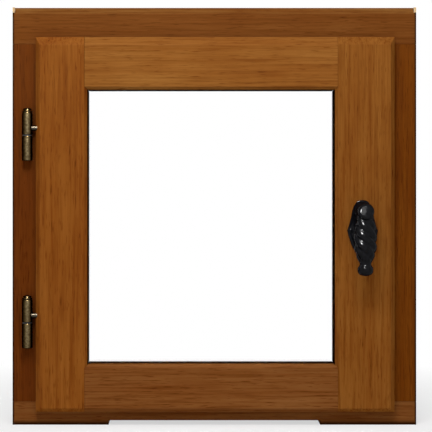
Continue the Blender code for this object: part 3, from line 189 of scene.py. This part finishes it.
def turning_away(tree, angles, values):
    """A value that changes as a surface turns from facing the eye (0) to being seen edge on (1)."""
    facing = add(tree, "ShaderNodeLayerWeight", {"Blend": 0.5}).outputs["Facing"]
    return add(
        tree,
        "ShaderNodeMapRange",
        {"From Min": angles[0], "From Max": angles[1], "To Min": values[0], "To Max": values[1]},
        [("Value", facing)],
    ).outputs[0]


def near_rectangle(tree, place, sides, heights, shares):
    """How far a point is from the middle of an upright rectangle to its sides, turned into 0 to 1."""
    middles = [(low + high) / 2 for low, high in (sides, heights)]
    halves = [(high - low) / 2 for low, high in (sides, heights)]
    scaled = add(
        tree,
        "ShaderNodeMapping",
        {
            "Location": (-middles[0] / halves[0], 0, -middles[1] / halves[1]),
            "Scale": (1 / halves[0], 0, 1 / halves[1]),
        },
        [("Vector", place)],
    )
    sizes = add(tree, "ShaderNodeVectorMath", {"operation": "ABSOLUTE"}, [(0, scaled.outputs[0])])
    split = add(tree, "ShaderNodeSeparateXYZ", {}, [("Vector", sizes.outputs[0])])
    farther = add(
        tree,
        "ShaderNodeMath",
        {"operation": "MAXIMUM"},
        [(0, split.outputs["X"]), (1, split.outputs["Z"])],
    )
    return add(
        tree,
        "ShaderNodeMapRange",
        {"From Min": shares[0], "From Max": shares[1]},
        [("Value", farther.outputs[0])],
    ).outputs[0]


def stained_hardwood(name, tone, along, number, edge):
    """Planed hardwood, stained and brushed with satin varnish.

    Darker bands, fine lines and short open pores run along the grain, and the stain is patchy. Painted
    shade darkens the walls of the sash's opening (edge "reveal") and the eased outer arrises of the frame's
    face (edge "rim"), and the head's top splay is painted lighter than its face, as lit from above. The
    amber varnish gives a soft warm sheen, broken up over the pores and gone where the wood is seen edge on.
    """
    material, tree, shader = new_material(name, Specular_Tint=colour("#ffb060"))
    place = add(tree, "ShaderNodeTexCoord", {}).outputs["Object"]
    board = (0.37 * number, 0.23 * number, 0.51 * number)
    patterns = []
    for sizes, detail, distortion in ((FIGURE_MM, 3, 0.9), (STREAK_MM, 3, 0.3), (PORE_MM, 1, 0.2)):
        stretched = add(
            tree,
            "ShaderNodeMapping",
            {"Location": board, "Scale": grained(along, sizes)},
            [("Vector", place)],
        )
        pattern = add(
            tree,
            "ShaderNodeTexNoise",
            {"Scale": 1.0, "Detail": detail, "Distortion": distortion},
            [("Vector", stretched.outputs[0])],
        )
        patterns.append(pattern.outputs["Fac"])
    figure, streaks, pores = patterns
    patches = add(
        tree,
        "ShaderNodeTexNoise",
        {"Scale": 1 / (PATCH_MM * MM), "Detail": 2},
        [("Vector", place)],
    ).outputs["Fac"]
    shades = [
        (figure, [(0.32, "#ecdccb"), (0.50, "#f7f1ea"), (0.66, "#ffffff")]),
        (streaks, [(0.32, "#dac7b0"), (0.50, "#f6efe6"), (0.66, "#ffffff")]),
        (pores, [(0.28, "#cfb8a0"), (0.40, "#ffffff")]),
        (patches, [(0.30, "#f0e6da"), (0.65, "#ffffff")]),
    ]
    # painted shade on the walls of the sash's opening, where they lie in shadow
    if edge == "reveal":
        left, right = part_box("glazing_bead_left")[1].x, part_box("glazing_bead_right")[0].x
        bottom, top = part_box("sash_rail_bottom")[1].z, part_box("sash_rail_top")[0].z
        outside = near_rectangle(tree, place, (left, right), (bottom, top), (1.001, 1.004))
        shades.append((outside, [(0.0, REVEAL_PAINTED_SHADE), (1.0, "#ffffff")]))
    # painted shade on the eased outer arrises of the frame's face, where they turn into shadow
    if edge == "rim":
        sides = (cad_low.x, cad_high.x)
        heights = (cad_low.z, cad_high.z * 2)  # the head's top edge is left out of the rim
        outside = near_rectangle(tree, place, sides, heights, (0.988, 0.996))
        across = add(tree, "ShaderNodeSeparateXYZ", {}, [("Vector", place)]).outputs["Y"]
        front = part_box("frame_jamb_left")[0].y
        in_front = add(
            tree,
            "ShaderNodeMapRange",
            {"From Min": front + 1 * MM, "From Max": front + 3 * MM, "To Min": 1.0, "To Max": 0.0},
            [("Value", across)],
        ).outputs[0]
        rim = add(
            tree, "ShaderNodeMath", {"operation": "MULTIPLY"}, [(0, outside), (1, in_front)]
        ).outputs[0]
        shades.append((rim, [(0.0, "#ffffff"), (1.0, RIM_PAINTED_SHADE)]))
    # painted light: the head's top splay keeps the lighter tone and its face below gets painted shade, as
    # if the splay were lit from above
    if name.endswith("frame_head"):
        up = add(tree, "ShaderNodeSeparateXYZ", {}, [("Vector", place)]).outputs["Z"]
        splay = cad_high.z - HEAD_SPLAY
        on_splay = add(
            tree,
            "ShaderNodeMapRange",
            {"From Min": splay - 0.4 * MM, "From Max": splay + 0.4 * MM},
            [("Value", up)],
        ).outputs[0]
        shades.append((on_splay, [(0.0, HEAD_FACE_PAINTED_SHADE), (1.0, "#ffffff")]))
    stain = None
    for pattern, stops in shades:
        shade = add(tree, "ShaderNodeValToRGB", {"stops": stops}, [("Fac", pattern)]).outputs[0]
        mix = add(
            tree,
            "ShaderNodeMix",
            {"data_type": "RGBA", "blend_type": "MULTIPLY", 0: 1.0, 6: colour(tone)},
            [(7, shade)] + ([(6, stain)] if stain else []),
        )
        stain = mix.outputs[2]
    tree.links.new(stain, shader.inputs["Base Color"])
    tree.links.new(turning_away(tree, (0, 0.45), VARNISH_SHEEN), shader.inputs["Specular IOR Level"])
    sheen = add(
        tree,
        "ShaderNodeMapRange",
        {"From Min": 0.3, "From Max": 0.7, "To Min": 0.50, "To Max": 0.34},
        [("Value", streaks)],
    )
    tree.links.new(sheen.outputs[0], shader.inputs["Roughness"])
    depth = add(
        tree,
        "ShaderNodeMath",
        {"operation": "MULTIPLY_ADD", 1: 0.5},
        [(0, streaks), (2, pores)],
    )
    relief = add(
        tree,
        "ShaderNodeBump",
        {"Strength": 0.25, "Distance": 0.2 * MM},
        [("Height", depth.outputs[0])],
    )
    tree.links.new(relief.outputs[0], shader.inputs["Normal"])
    return material


def raw_softwood():
    """Sawn pine, left bare: pale, matt, with fine straight grain."""
    material, tree, shader = new_material("sawn_pine", Roughness=0.85, Specular_IOR_Level=0.3)
    place = add(tree, "ShaderNodeTexCoord", {}).outputs["Object"]
    stretched = add(
        tree, "ShaderNodeMapping", {"Scale": grained("Z", (30, 1.0))}, [("Vector", place)]
    )
    lines = add(tree, "ShaderNodeTexNoise", {"Scale": 1.0, "Detail": 2}, [("Vector", stretched.outputs[0])])
    shade = add(
        tree,
        "ShaderNodeValToRGB",
        {"stops": [(0.35, "#b58d5c"), (0.6, "#dcbd8c")]},
        [("Fac", lines.outputs["Fac"])],
    )
    tree.links.new(shade.outputs[0], shader.inputs["Base Color"])
    return material


def mottled(name, dark, light, grain_mm, rough, relief_mm, painted_dark_sides=False, film=None, **settings):
    """A finish with a mottle of two tones, an uneven gloss from rough[0] to rough[1], and a fine relief.

    With the dark-sides option, a round bar is painted darker towards its sides, as a painted reflection of
    a room with dark corners; film is the strength of a lacquer's sheen facing the eye and edge on.
    """
    material, tree, shader = new_material(name, **settings)
    place = add(tree, "ShaderNodeTexCoord", {}).outputs["Object"]
    mottle = add(
        tree,
        "ShaderNodeTexNoise",
        {"Scale": 1 / (grain_mm * MM), "Detail": 3},
        [("Vector", place)],
    ).outputs["Fac"]
    shade = add(
        tree, "ShaderNodeValToRGB", {"stops": [(0.36, dark), (0.62, light)]}, [("Fac", mottle)]
    ).outputs[0]
    # painted shade towards the sides of a round bar
    if painted_dark_sides:
        painted_sides = add(
            tree,
            "ShaderNodeValToRGB",
            {"stops": TURNED_AWAY_PAINTED_SHADE},
            [("Fac", turning_away(tree, (0, 1), (0, 1)))],
        )
        shade = add(
            tree,
            "ShaderNodeMix",
            {"data_type": "RGBA", "blend_type": "MULTIPLY", 0: 1.0},
            [(6, shade), (7, painted_sides.outputs[0])],
        ).outputs[2]
    if film:
        tree.links.new(turning_away(tree, (0, 0.8), film), shader.inputs["Specular IOR Level"])
    gloss = add(
        tree,
        "ShaderNodeMapRange",
        {"From Min": 0.3, "From Max": 0.7, "To Min": rough[0], "To Max": rough[1]},
        [("Value", mottle)],
    )
    relief = add(
        tree,
        "ShaderNodeBump",
        {"Strength": 0.5, "Distance": relief_mm * MM},
        [("Height", mottle)],
    )
    tree.links.new(shade, shader.inputs["Base Color"])
    tree.links.new(gloss.outputs[0], shader.inputs["Roughness"])
    tree.links.new(relief.outputs[0], shader.inputs["Normal"])
    return material


def float_glass():
    """Clear float glass: sharp, weak reflections, with the faint waviness of a large pane."""
    material, tree, shader = new_material(
        "float_glass",
        Base_Color=colour("#ffffff"),
        Roughness=0.0,
        IOR=1.5,
        Specular_IOR_Level=0.1,
        Transmission_Weight=1.0,
    )
    place = add(tree, "ShaderNodeTexCoord", {}).outputs["Object"]
    wave = add(tree, "ShaderNodeTexNoise", {"Scale": 1 / (120 * MM), "Detail": 0}, [("Vector", place)])
    relief = add(
        tree,
        "ShaderNodeBump",
        {"Strength": 0.05, "Distance": 0.1 * MM},
        [("Height", wave.outputs["Fac"])],
    )
    tree.links.new(relief.outputs[0], shader.inputs["Normal"])
    return material


# Painted shade for round metal: darker as it turns away from the eye, a painted reflection of dark
# surroundings
TURNED_AWAY_PAINTED_SHADE = [(0.0, "#ffffff"), (0.03, "#dcd4c8"), (0.14, "#8a7f6d"), (0.40, "#2c241a")]
FINISHES = {
    # Antique bronze plating on turned steel: olive brown, softly glossy, with painted shade where it turns
    # away
    "bronzed_steel": mottled(
        "antique_bronze_plating",
        "#5e5038",
        "#76694d",
        3,
        (0.22, 0.32),
        0.01,
        True,
        Metallic=1.0,
        Specular_Tint=colour("#6a5840"),
    ),
    # Turned steel, once bright, dulled by handling: grey, glossy, with painted shade where it turns away
    "bright_steel": mottled(
        "turned_bright_steel", "#4a463f", "#5a564e", 1.5, (0.18, 0.26), 0.01, True, Metallic=1.0
    ),
    # Pressed steel with dull zinc plating: greyer, with soft spangles
    "zinc_steel": mottled(
        "zinc_plated_steel", "#8f9193", "#b4b6b8", 3, (0.32, 0.48), 0.02, Metallic=1.0
    ),
    # Hammered wrought iron under black lacquer: nearly black, with a wet gloss on its high places
    "black_iron": mottled(
        "lacquered_wrought_iron",
        "#08080a",
        "#101014",
        4,
        (0.09, 0.15),
        0.16,
        film=(0.10, 0),
    ),
    # Moulded nylon: black, satin
    "black_nylon": mottled("moulded_nylon", "#141416", "#1d1d20", 2, (0.45, 0.55), 0.02, IOR=1.53),
    # Extruded rubber: black, matt
    "black_rubber": mottled(
        "extruded_rubber", "#0c0a08", "#141210", 6, (0.75, 0.9), 0.03, Specular_IOR_Level=0.1
    ),
    # Anodised aluminium, dark bronze: satin and nearly even
    "spacer_aluminium": mottled(
        "dark_anodised_aluminium", "#241a10", "#2e2216", 2, (0.40, 0.52), 0.01, Metallic=1.0
    ),
    "clear_glass": float_glass(),
    "raw_softwood": raw_softwood(),
}
for number, (node, (tone, along)) in enumerate({**FRAME_TONES, **SASH_TONES}.items(), start=1):
    edge = "rim" if node in FRAME_TONES else "reveal"
    if node == "sash_rail_bottom":  # its wall faces up and catches the light, so it gets no painted shade
        edge = None
    FINISHES[node] = stained_hardwood(f"stained_hardwood_{node}", tone, along, number, edge)


def finished(piece, material):
    """Gives a piece one material all over."""
    piece.data.materials.clear()
    piece.data.materials.append(material)
    return piece


def finish_node(node):
    """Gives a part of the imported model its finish, through its object's own slot."""
    obj = NODES[node]
    slot = obj.material_slots[0]
    slot.link = "OBJECT"
    slot.material = FINISHES.get(node) or FINISHES[SLOTS[node]]


def ease(node):
    """Takes the sharp arrises off a wooden member, as sandpaper does."""
    obj = NODES[node]
    weld = obj.modifiers.new("Weld", "WELD")
    weld.merge_threshold = 0.00001
    flat = obj.modifiers.new("Flat faces", "DECIMATE")
    flat.decimate_type = "DISSOLVE"
    flat.angle_limit = math.radians(0.5)
    eased = obj.modifiers.new("Eased arrises", "BEVEL")
    eased.width = EASED_EDGE
    eased.segments = 2
    eased.limit_method = "ANGLE"
    eased.angle_limit = math.radians(30)


# Shapes


def skin(name, rings, closed=False):
    """A closed skin through rings of points; a ring of one point is a pole, closed joins last to first."""
    bm = bmesh.new()
    loops = [[bm.verts.new(point) for point in ring] for ring in rings]
    pairs = list(zip(loops, loops[1:])) + ([(loops[-1], loops[0])] if closed else [])
    for low, high in pairs:
        count = max(len(low), len(high))
        for i in range(count):
            j = (i + 1) % count
            corners = [low[i % len(low)], low[j % len(low)], high[j % len(high)], high[i % len(high)]]
            bm.faces.new(dict.fromkeys(corners))
    if not closed:
        for end in (loops[0], loops[-1]):
            if len(end) > 2:
                bm.faces.new(end)
    bmesh.ops.recalc_face_normals(bm, faces=bm.faces[:])
    mesh = bpy.data.meshes.new(name)
    bm.to_mesh(mesh)
    bm.free()
    obj = bpy.data.objects.new(name, mesh)
    bpy.context.scene.collection.objects.link(obj)
    return obj


def circle(centre, axis, radius, steps):
    if radius == 0:
        return [centre]
    side = axis.orthogonal().normalized()
    other = axis.cross(side)
    angles = (2 * math.pi * i / steps for i in range(steps))
    return [centre + (side * math.cos(a) + other * math.sin(a)) * radius for a in angles]


def turned(name, profile, base, axis, steps=BARREL_STEPS):
    """A turned shape through (radius, height) pairs, heights along axis from base."""
    rings = [circle(base + axis * height, axis, radius, steps) for radius, height in profile]
    return skin(name, rings)


def rounded(radius, height, edge, rising):
    """A rounded edge of a turned profile: rising ends on the wall at height, or else starts there."""
    arc = []
    for i in range(5):
        angle = math.pi / 2 * i / 4
        arc.append((radius - edge * (1 - math.sin(angle)), height - edge * math.cos(angle)))
    if rising:
        return arc
    return [(across, 2 * height - up) for across, up in reversed(arc)]


def smooth(piece, angle=35):
    piece.data.shade_smooth()
    piece.data.set_sharp_from_angle(angle=math.radians(angle))
    return piece


def baked(piece):
    """Works a piece's modifiers into its mesh."""
    bpy.context.view_layer.update()
    graph = bpy.context.evaluated_depsgraph_get()
    mesh = bpy.data.meshes.new_from_object(piece.evaluated_get(graph))
    piece.modifiers.clear()
    piece.data = mesh
    return piece


def combine(piece, other, operation):
    """Works another shape into a piece and removes it."""
    modifier = piece.modifiers.new(operation.title(), "BOOLEAN")
    modifier.operation = operation
    modifier.object = other
    baked(piece)
    bpy.data.objects.remove(other, do_unlink=True)
    return piece


def stand_in(piece, node, body):
    """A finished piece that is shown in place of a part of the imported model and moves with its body."""
    finished(piece, FINISHES[SLOTS[node]])
    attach(piece, body)
    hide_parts(node)
    return piece


# Hinges


def barrel(node, body, open_end):
    """A turned knuckle with rounded rims and its bore; open_end is 1 at the top and -1 at the bottom."""
    low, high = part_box(node)
    pin_low, pin_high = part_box(node.split("_hinge_")[0] + "_hinge_pin")
    radius = (high.x - low.x) / 2
    bore = (pin_high.x - pin_low.x) / 2 + PIN_CLEARANCE
    length = high.z - low.z
    depth = (high.z - pin_low.z) if open_end > 0 else (pin_high.z - low.z)
    axis = Vector((0, 0, open_end))
    base_z = low.z if open_end > 0 else high.z
    base = Vector(((low.x + high.x) / 2, (low.y + high.y) / 2, base_z))
    profile = [(0, 0)]
    profile += rounded(radius, BARREL_EDGE, BARREL_EDGE, True)
    profile += [(radius, length / 2)]
    profile += rounded(radius, length - BARREL_EDGE, BARREL_EDGE, False)
    profile += [(bore, length), (bore, length - depth), (0, length - depth)]
    piece = smooth(turned(node + "_turned", profile, base, axis))
    return stand_in(piece, node, body)


def button_cap(node):
    """A button on a ring: a rounded ring flush with the barrel, a waist, and a domed button."""
    low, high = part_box(node)
    radius = (high.x - low.x) / 2
    height = high.z - low.z
    waist = 0.62 * radius
    button = 0.86 * radius
    ring_top = 2 * CAP_RING
    middle = ring_top + 0.35 * (height - ring_top)
    profile = [(0, 0)]
    profile += rounded(radius, CAP_RING, CAP_RING, True)
    profile += rounded(radius, CAP_RING, CAP_RING, False)[1:]
    profile += [(waist, ring_top), (waist, ring_top + 0.12 * (height - ring_top)), (button, middle)]
    dome = height - middle
    for i in range(1, 8):
        angle = math.pi / 2 * i / 8
        profile.append((button * math.cos(angle), middle + dome * math.sin(angle)))
    profile.append((0, height))
    base = Vector(((low.x + high.x) / 2, (low.y + high.y) / 2, low.z))
    piece = smooth(turned(node + "_turned", profile, base, Vector((0, 0, 1))), 50)
    return stand_in(piece, node, "sash")


def stem(node, body, direction):
    """A plain turned stem with a rounded point, from its barrel into the wood."""
    low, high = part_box(node)
    middle = (low + high) / 2
    length = abs((high - low).dot(direction))
    radius = (high.z - low.z) / 2
    start = middle - direction * length / 2
    profile = [(0, 0), (radius, 0), (radius, length / 2)]
    profile += rounded(radius, length - STEM_POINT, STEM_POINT, False)
    profile += [(0, length)]
    piece = smooth(turned(node + "_turned", profile, start, direction, 32))
    return stand_in(piece, node, body)


for hinge in ("upper_hinge", "lower_hinge"):
    barrel(f"{hinge}_frame_knuckle", "frame", 1)
    barrel(f"{hinge}_sash_knuckle", "sash", -1)
    button_cap(f"{hinge}_cap")
    stem(f"{hinge}_frame_stem", "frame", Vector((0, 1, 0)))
    stem(f"{hinge}_sash_stem", "sash", Vector((1, 0, 0)))


# Handle

HANDLE_AXIS = Vector(JOINTS["handle_turn"]["pos_m"])
TO_ROOM = Vector((0, -1, 0))
# (share of the length below the axis, share of the grip's radius)
GRIP_SHAPE = (
    (0.00, 0.62),
    (0.07, 0.72),
    (0.16, 0.86),
    (0.27, 0.98),
    (0.38, 1.03),
    (0.50, 1.04),
    (0.61, 0.98),
    (0.70, 0.82),
    (0.77, 0.62),
    (0.82, 0.52),
    (0.845, 0.58),
    (0.865, 0.67),
    (0.905, 0.70),
    (0.945, 0.66),
    (0.975, 0.52),
    (0.992, 0.28),
    (1.00, 0.00),
)
FLUTES_END = 0.82
GRIP_RINGS = 110
GRIP_STEPS = 72


def along_curve(points, share):
    """A smooth curve through (place, value) pairs, read at a place."""
    for i in range(len(points) - 1):
        (start, low), (end, high) = points[i], points[i + 1]
        if share <= end:
            break
    before = points[max(i - 1, 0)]
    after = points[min(i + 2, len(points) - 1)]
    t = (share - start) / (end - start)
    slope_low = (high - before[1]) / (end - before[0]) * (end - start)
    slope_high = (after[1] - low) / (after[0] - start) * (end - start)
    return (
        (2 * t**3 - 3 * t**2 + 1) * low
        + (t**3 - 2 * t**2 + t) * slope_low
        + (3 * t**2 - 2 * t**3) * high
        + (t**3 - t**2) * slope_high
    )


def grip():
    """The drop-shaped grip: rope-like flutes twist round it and run out before the neck."""
    low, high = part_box("handle_lever")
    length = HANDLE_AXIS.z - low.z
    radius = (high.x - low.x) / 2
    rings = []
    for i in range(GRIP_RINGS + 1):
        share = i / GRIP_RINGS
        size = max(radius * along_curve(GRIP_SHAPE, share), 0) if share < 1 else 0
        centre = HANDLE_AXIS + TO_ROOM * GRIP_IN_FRONT - Vector((0, 0, length * share))
        if size == 0:
            rings.append([centre])
            continue
        fade = math.sin(math.pi * min(1.0, share / FLUTES_END)) ** 0.35
        twist = TWIST_START + 2 * math.pi * length * share / TWIST_PITCH
        ring = []
        for j in range(GRIP_STEPS):
            angle = 2 * math.pi * j / GRIP_STEPS
            flute = 1 - abs(math.cos(FLUTES / 2 * (angle - twist)))
            out = size * (1 - FLUTE_DEPTH * fade * flute)
            ring.append(centre + Vector((out * math.sin(angle), -out * math.cos(angle), 0)))
        rings.append(ring)
    return skin("forged_lever", rings)


def boss():
    """The turned part of the lever: foot, waist and the rounded head over the axis."""
    low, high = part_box("handle_lever")
    reach = HANDLE_AXIS.y - low.y
    start = HANDLE_AXIS.y - high.y
    foot = start + SPIGOT_LENGTH
    head = reach - BOSS_BEHIND_GRIP
    profile = [
        (0, start),
        (SPIGOT_RADIUS, start),
        (SPIGOT_RADIUS, foot),
        (BOSS_FOOT_RADIUS, foot),
        (BOSS_FOOT_RADIUS, foot + 1.6 * MM),
        (9.6 * MM, foot + 3.2 * MM),
        (BOSS_WAIST_RADIUS, foot + 6 * MM),
        (BOSS_WAIST_RADIUS, head - 22 * MM),
        (10.2 * MM, head - 16 * MM),
        (10.4 * MM, head - 8 * MM),
        (9.9 * MM, head - 4 * MM),
        (8.8 * MM, head - 1.6 * MM),
        (6.8 * MM, head - 0.4 * MM),
        (0, head),
    ]
    piece = turned("lever_boss", profile, HANDLE_AXIS, TO_ROOM, 64)
    for vertex in piece.data.vertices:
        if HANDLE_AXIS.y - vertex.co.y > head - BOSS_HEAD_LENGTH:
            vertex.co.y += (vertex.co.z - HANDLE_AXIS.z) * BOSS_TILT
    return piece


def forged_lever():
    lever = combine(grip(), boss(), "UNION")
    blend = lever.modifiers.new("Forged in one", "REMESH")
    blend.mode = "VOXEL"
    blend.voxel_size = FORGED_DETAIL
    fillet = lever.modifiers.new("Fillets", "SMOOTH")
    fillet.iterations = 3
    baked(lever)
    lever.data.shade_smooth()
    return stand_in(lever, "handle_lever", "handle")


# (share of the half width, share of the height from the axis to the top or to the bottom)
PLATE_TOP_HALF = ((0.0, 1.0), (0.22, 0.97), (0.40, 0.80), (0.55, 0.45), (0.66, 0.05))
PLATE_LOW_HALF = (
    (0.74, 0.14),
    (0.88, 0.33),
    (1.00, 0.445),
    (0.92, 0.56),
    (0.72, 0.76),
    (0.42, 0.94),
    (0.0, 1.0),
)


def plate_outline():
    """The backplate's outline round the handle's axis: a leaf with a point at each side."""
    low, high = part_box("handle_backplate")
    half = (high.x - low.x) / 2
    up = high.z - HANDLE_AXIS.z
    down = HANDLE_AXIS.z - low.z
    right = [Vector((half * across, 0, up * share)) for across, share in PLATE_TOP_HALF]
    right += [Vector((half * across, 0, -down * share)) for across, share in PLATE_LOW_HALF]
    left = [Vector((-point.x, 0, point.z)) for point in reversed(right[1:-1])]
    corners = right + left
    outline = []
    for i, point in enumerate(corners):
        after = corners[(i + 1) % len(corners)]
        outline += [point.lerp(after, step / 4) for step in range(4)]
    return outline


def backplate():
    """A forged plate with a rounded edge and a shallow groove inside it, round the bush's hole."""
    low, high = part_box("handle_backplate")
    bush_low, bush_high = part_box("handle_bush")
    hole = (bush_high.x - bush_low.x) / 2 + BUSH_CLEARANCE
    thickness = high.y - low.y
    outline = plate_outline()
    inner = [point.normalized() * hole for point in outline]
    # (share of the way from the edge to the hole, height above the wood's face)
    section = [
        (0.0, 0),
        (0.0, thickness - PLATE_EDGE),
        (0.02, thickness - 0.62 * PLATE_EDGE),
        (0.06, thickness - 0.26 * PLATE_EDGE),
        (0.11, thickness - 0.05 * PLATE_EDGE),
        (0.17, thickness),
        (0.20, thickness - PLATE_GROOVE),
        (0.24, thickness - PLATE_GROOVE),
        (0.27, thickness),
        (0.6, thickness),
        (1.0, thickness),
        (1.0, 0),
    ]
    back = Vector((HANDLE_AXIS.x, high.y, HANDLE_AXIS.z))
    rings = []
    for share, height in section:
        ring = [
            back + edge.lerp(middle, share) + TO_ROOM * height for edge, middle in zip(outline, inner)
        ]
        rings.append(ring)
    piece = smooth(skin("forged_backplate", rings, closed=True), 40)
    return stand_in(piece, "handle_backplate", "sash")


def plate_screw(node, turn):
    """A domed slotted screw, standing a little proud of the plate."""
    low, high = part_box(node)
    middle = (low + high) / 2
    head = Vector((middle.x, low.y, middle.z))
    length = high.y - low.y
    profile = [
        (0, -length),
        (SCREW_SHANK_RADIUS, -length + 2 * MM),
        (SCREW_SHANK_RADIUS, 0),
        (SCREW_HEAD_RADIUS, 0),
    ]
    for i in range(1, 7):
        angle = math.pi / 2 * i / 7
        profile.append((SCREW_HEAD_RADIUS * math.cos(angle), SCREW_HEAD_HEIGHT * math.sin(angle)))
    profile.append((0, SCREW_HEAD_HEIGHT))
    piece = turned(node + "_domed", profile, head, TO_ROOM, 32)
    half_width = SCREW_SLOT_WIDTH / 2
    reach = SCREW_HEAD_RADIUS * 1.3
    corners = [(-reach, -half_width), (reach, -half_width), (reach, half_width), (-reach, half_width)]
    slot_turn = Matrix.Rotation(turn, 3, "Y")
    rings = [
        [head + slot_turn @ Vector((x, -height, z)) for x, z in corners]
        for height in (SCREW_SLOT_FLOOR, 2 * SCREW_HEAD_HEIGHT)
    ]
    combine(piece, skin("slot_cutter", rings), "DIFFERENCE")
    return stand_in(smooth(piece), node, "sash")


forged_lever()
backplate()
plate_screw("backplate_screw_left", math.radians(24))
plate_screw("backplate_screw_right", math.radians(-38))


# Finishes of the parts that keep their own shape

for node, obj in NODES.items():
    if not obj.hide_render:
        finish_node(node)
for node in (*FRAME_TONES, *SASH_TONES):
    ease(node)


# Floor, light and camera


def white_seen(tree, shade):
    """White where it is seen, reflected or looked through, and the given shader where it lights things."""
    path = add(tree, "ShaderNodeLightPath", {})
    seen = path.outputs["Is Camera Ray"]
    for ray in ("Is Glossy Ray", "Is Transmission Ray"):
        seen = add(
            tree, "ShaderNodeMath", {"operation": "MAXIMUM"}, [(0, seen), (1, path.outputs[ray])]
        ).outputs[0]
    return add(tree, "ShaderNodeMixShader", {}, [(0, seen), (1, shade)]), seen


FLOOR_HALF = 4.0
FLOOR_THICKNESS = 0.01
SHADOW_REACH = (0.25, 0.7)  # the floor's shadow fades out between these distances
floor_ring = [
    Vector((x * FLOOR_HALF, y * FLOOR_HALF, 0)) for x, y in ((-1, -1), (1, -1), (1, 1), (-1, 1))
]
floor = skin("pale_floor", [floor_ring, [point - Vector((0, 0, FLOOR_THICKNESS)) for point in floor_ring]])
floor_paint, floor_tree, floor_shader = new_material(
    "pale_painted_floor", Base_Color=colour("#f4f4f4"), Roughness=0.9, Specular_IOR_Level=0.2
)
glow = add(floor_tree, "ShaderNodeEmission", {"Color": (1, 1, 1, 1), "Strength": 1.0})
floor_mix, floor_seen = white_seen(floor_tree, floor_shader.outputs[0])
place = add(floor_tree, "ShaderNodeTexCoord", {}).outputs["Object"]
away = add(floor_tree, "ShaderNodeVectorMath", {"operation": "LENGTH"}, [(0, place)])
far = add(
    floor_tree,
    "ShaderNodeMapRange",
    {"From Min": SHADOW_REACH[0], "From Max": SHADOW_REACH[1], "To Min": 0.6, "To Max": 1.0},
    [("Value", away.outputs["Value"])],
)
shown = add(
    floor_tree, "ShaderNodeMath", {"operation": "MULTIPLY"}, [(0, floor_seen), (1, far.outputs[0])]
)
floor_tree.links.new(shown.outputs[0], floor_mix.inputs[0])
floor_tree.links.new(glow.outputs[0], floor_mix.inputs[2])
floor_out = floor_tree.nodes["Material Output"]
floor_tree.links.new(floor_mix.outputs[0], floor_out.inputs["Surface"])
finished(floor, floor_paint)

world = bpy.data.worlds.new("studio")
world.use_nodes = True
bpy.context.scene.world = world
world_tree = world.node_tree
soft_light = world_tree.nodes["Background"]
soft_light.inputs["Color"].default_value = (1, 1, 1, 1)
soft_light.inputs["Strength"].default_value = 0.35
backdrop = add(world_tree, "ShaderNodeBackground", {"Color": (1, 1, 1, 1), "Strength": 1.0})
world_mix, _ = white_seen(world_tree, soft_light.outputs[0])
world_tree.links.new(backdrop.outputs[0], world_mix.inputs[2])
world_out = world_tree.nodes["World Output"]
world_tree.links.new(world_mix.outputs[0], world_out.inputs["Surface"])


def lamp(name, place, target, size, power):
    light = bpy.data.lights.new(name, "AREA")
    light.shape = "RECTANGLE"
    light.size, light.size_y = size
    light.energy = power
    obj = bpy.data.objects.new(name, light)
    bpy.context.scene.collection.objects.link(obj)
    obj.location = place
    obj.rotation_euler = (Vector(target) - Vector(place)).to_track_quat("-Z", "Y").to_euler()
    return obj


lamp("overhead_softbox", (-0.12, -0.95, 1.35), (0, 0, 0.28), (0.9, 0.6), 15.5)
catch_light = lamp("catch_light", (-0.13, -1.0, 1.2), (0, 0, 0.28), (0.24, 0.24), 70)
catch_light.visible_diffuse = False  # it shows only in reflections, as glints

camera_data = bpy.data.cameras.new("camera")
camera = bpy.data.objects.new("camera", camera_data)
bpy.context.scene.collection.objects.link(camera)
camera.location = CAMERA_PLACE
camera.rotation_euler = (math.pi / 2, 0, 0)
frame_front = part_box("frame_jamb_left")[0].y
distance = frame_front - CAMERA_PLACE.y
camera_data.sensor_width = SENSOR
camera_data.lens = SENSOR * distance / FRAME_VIEW_WIDTH
camera_data.shift_x = (VIEW_CENTRE.x - CAMERA_PLACE.x) / FRAME_VIEW_WIDTH
camera_data.shift_y = (VIEW_CENTRE.y - CAMERA_PLACE.z) / FRAME_VIEW_WIDTH
bpy.context.scene.camera = camera
bpy.context.scene.view_settings.view_transform = "Standard"
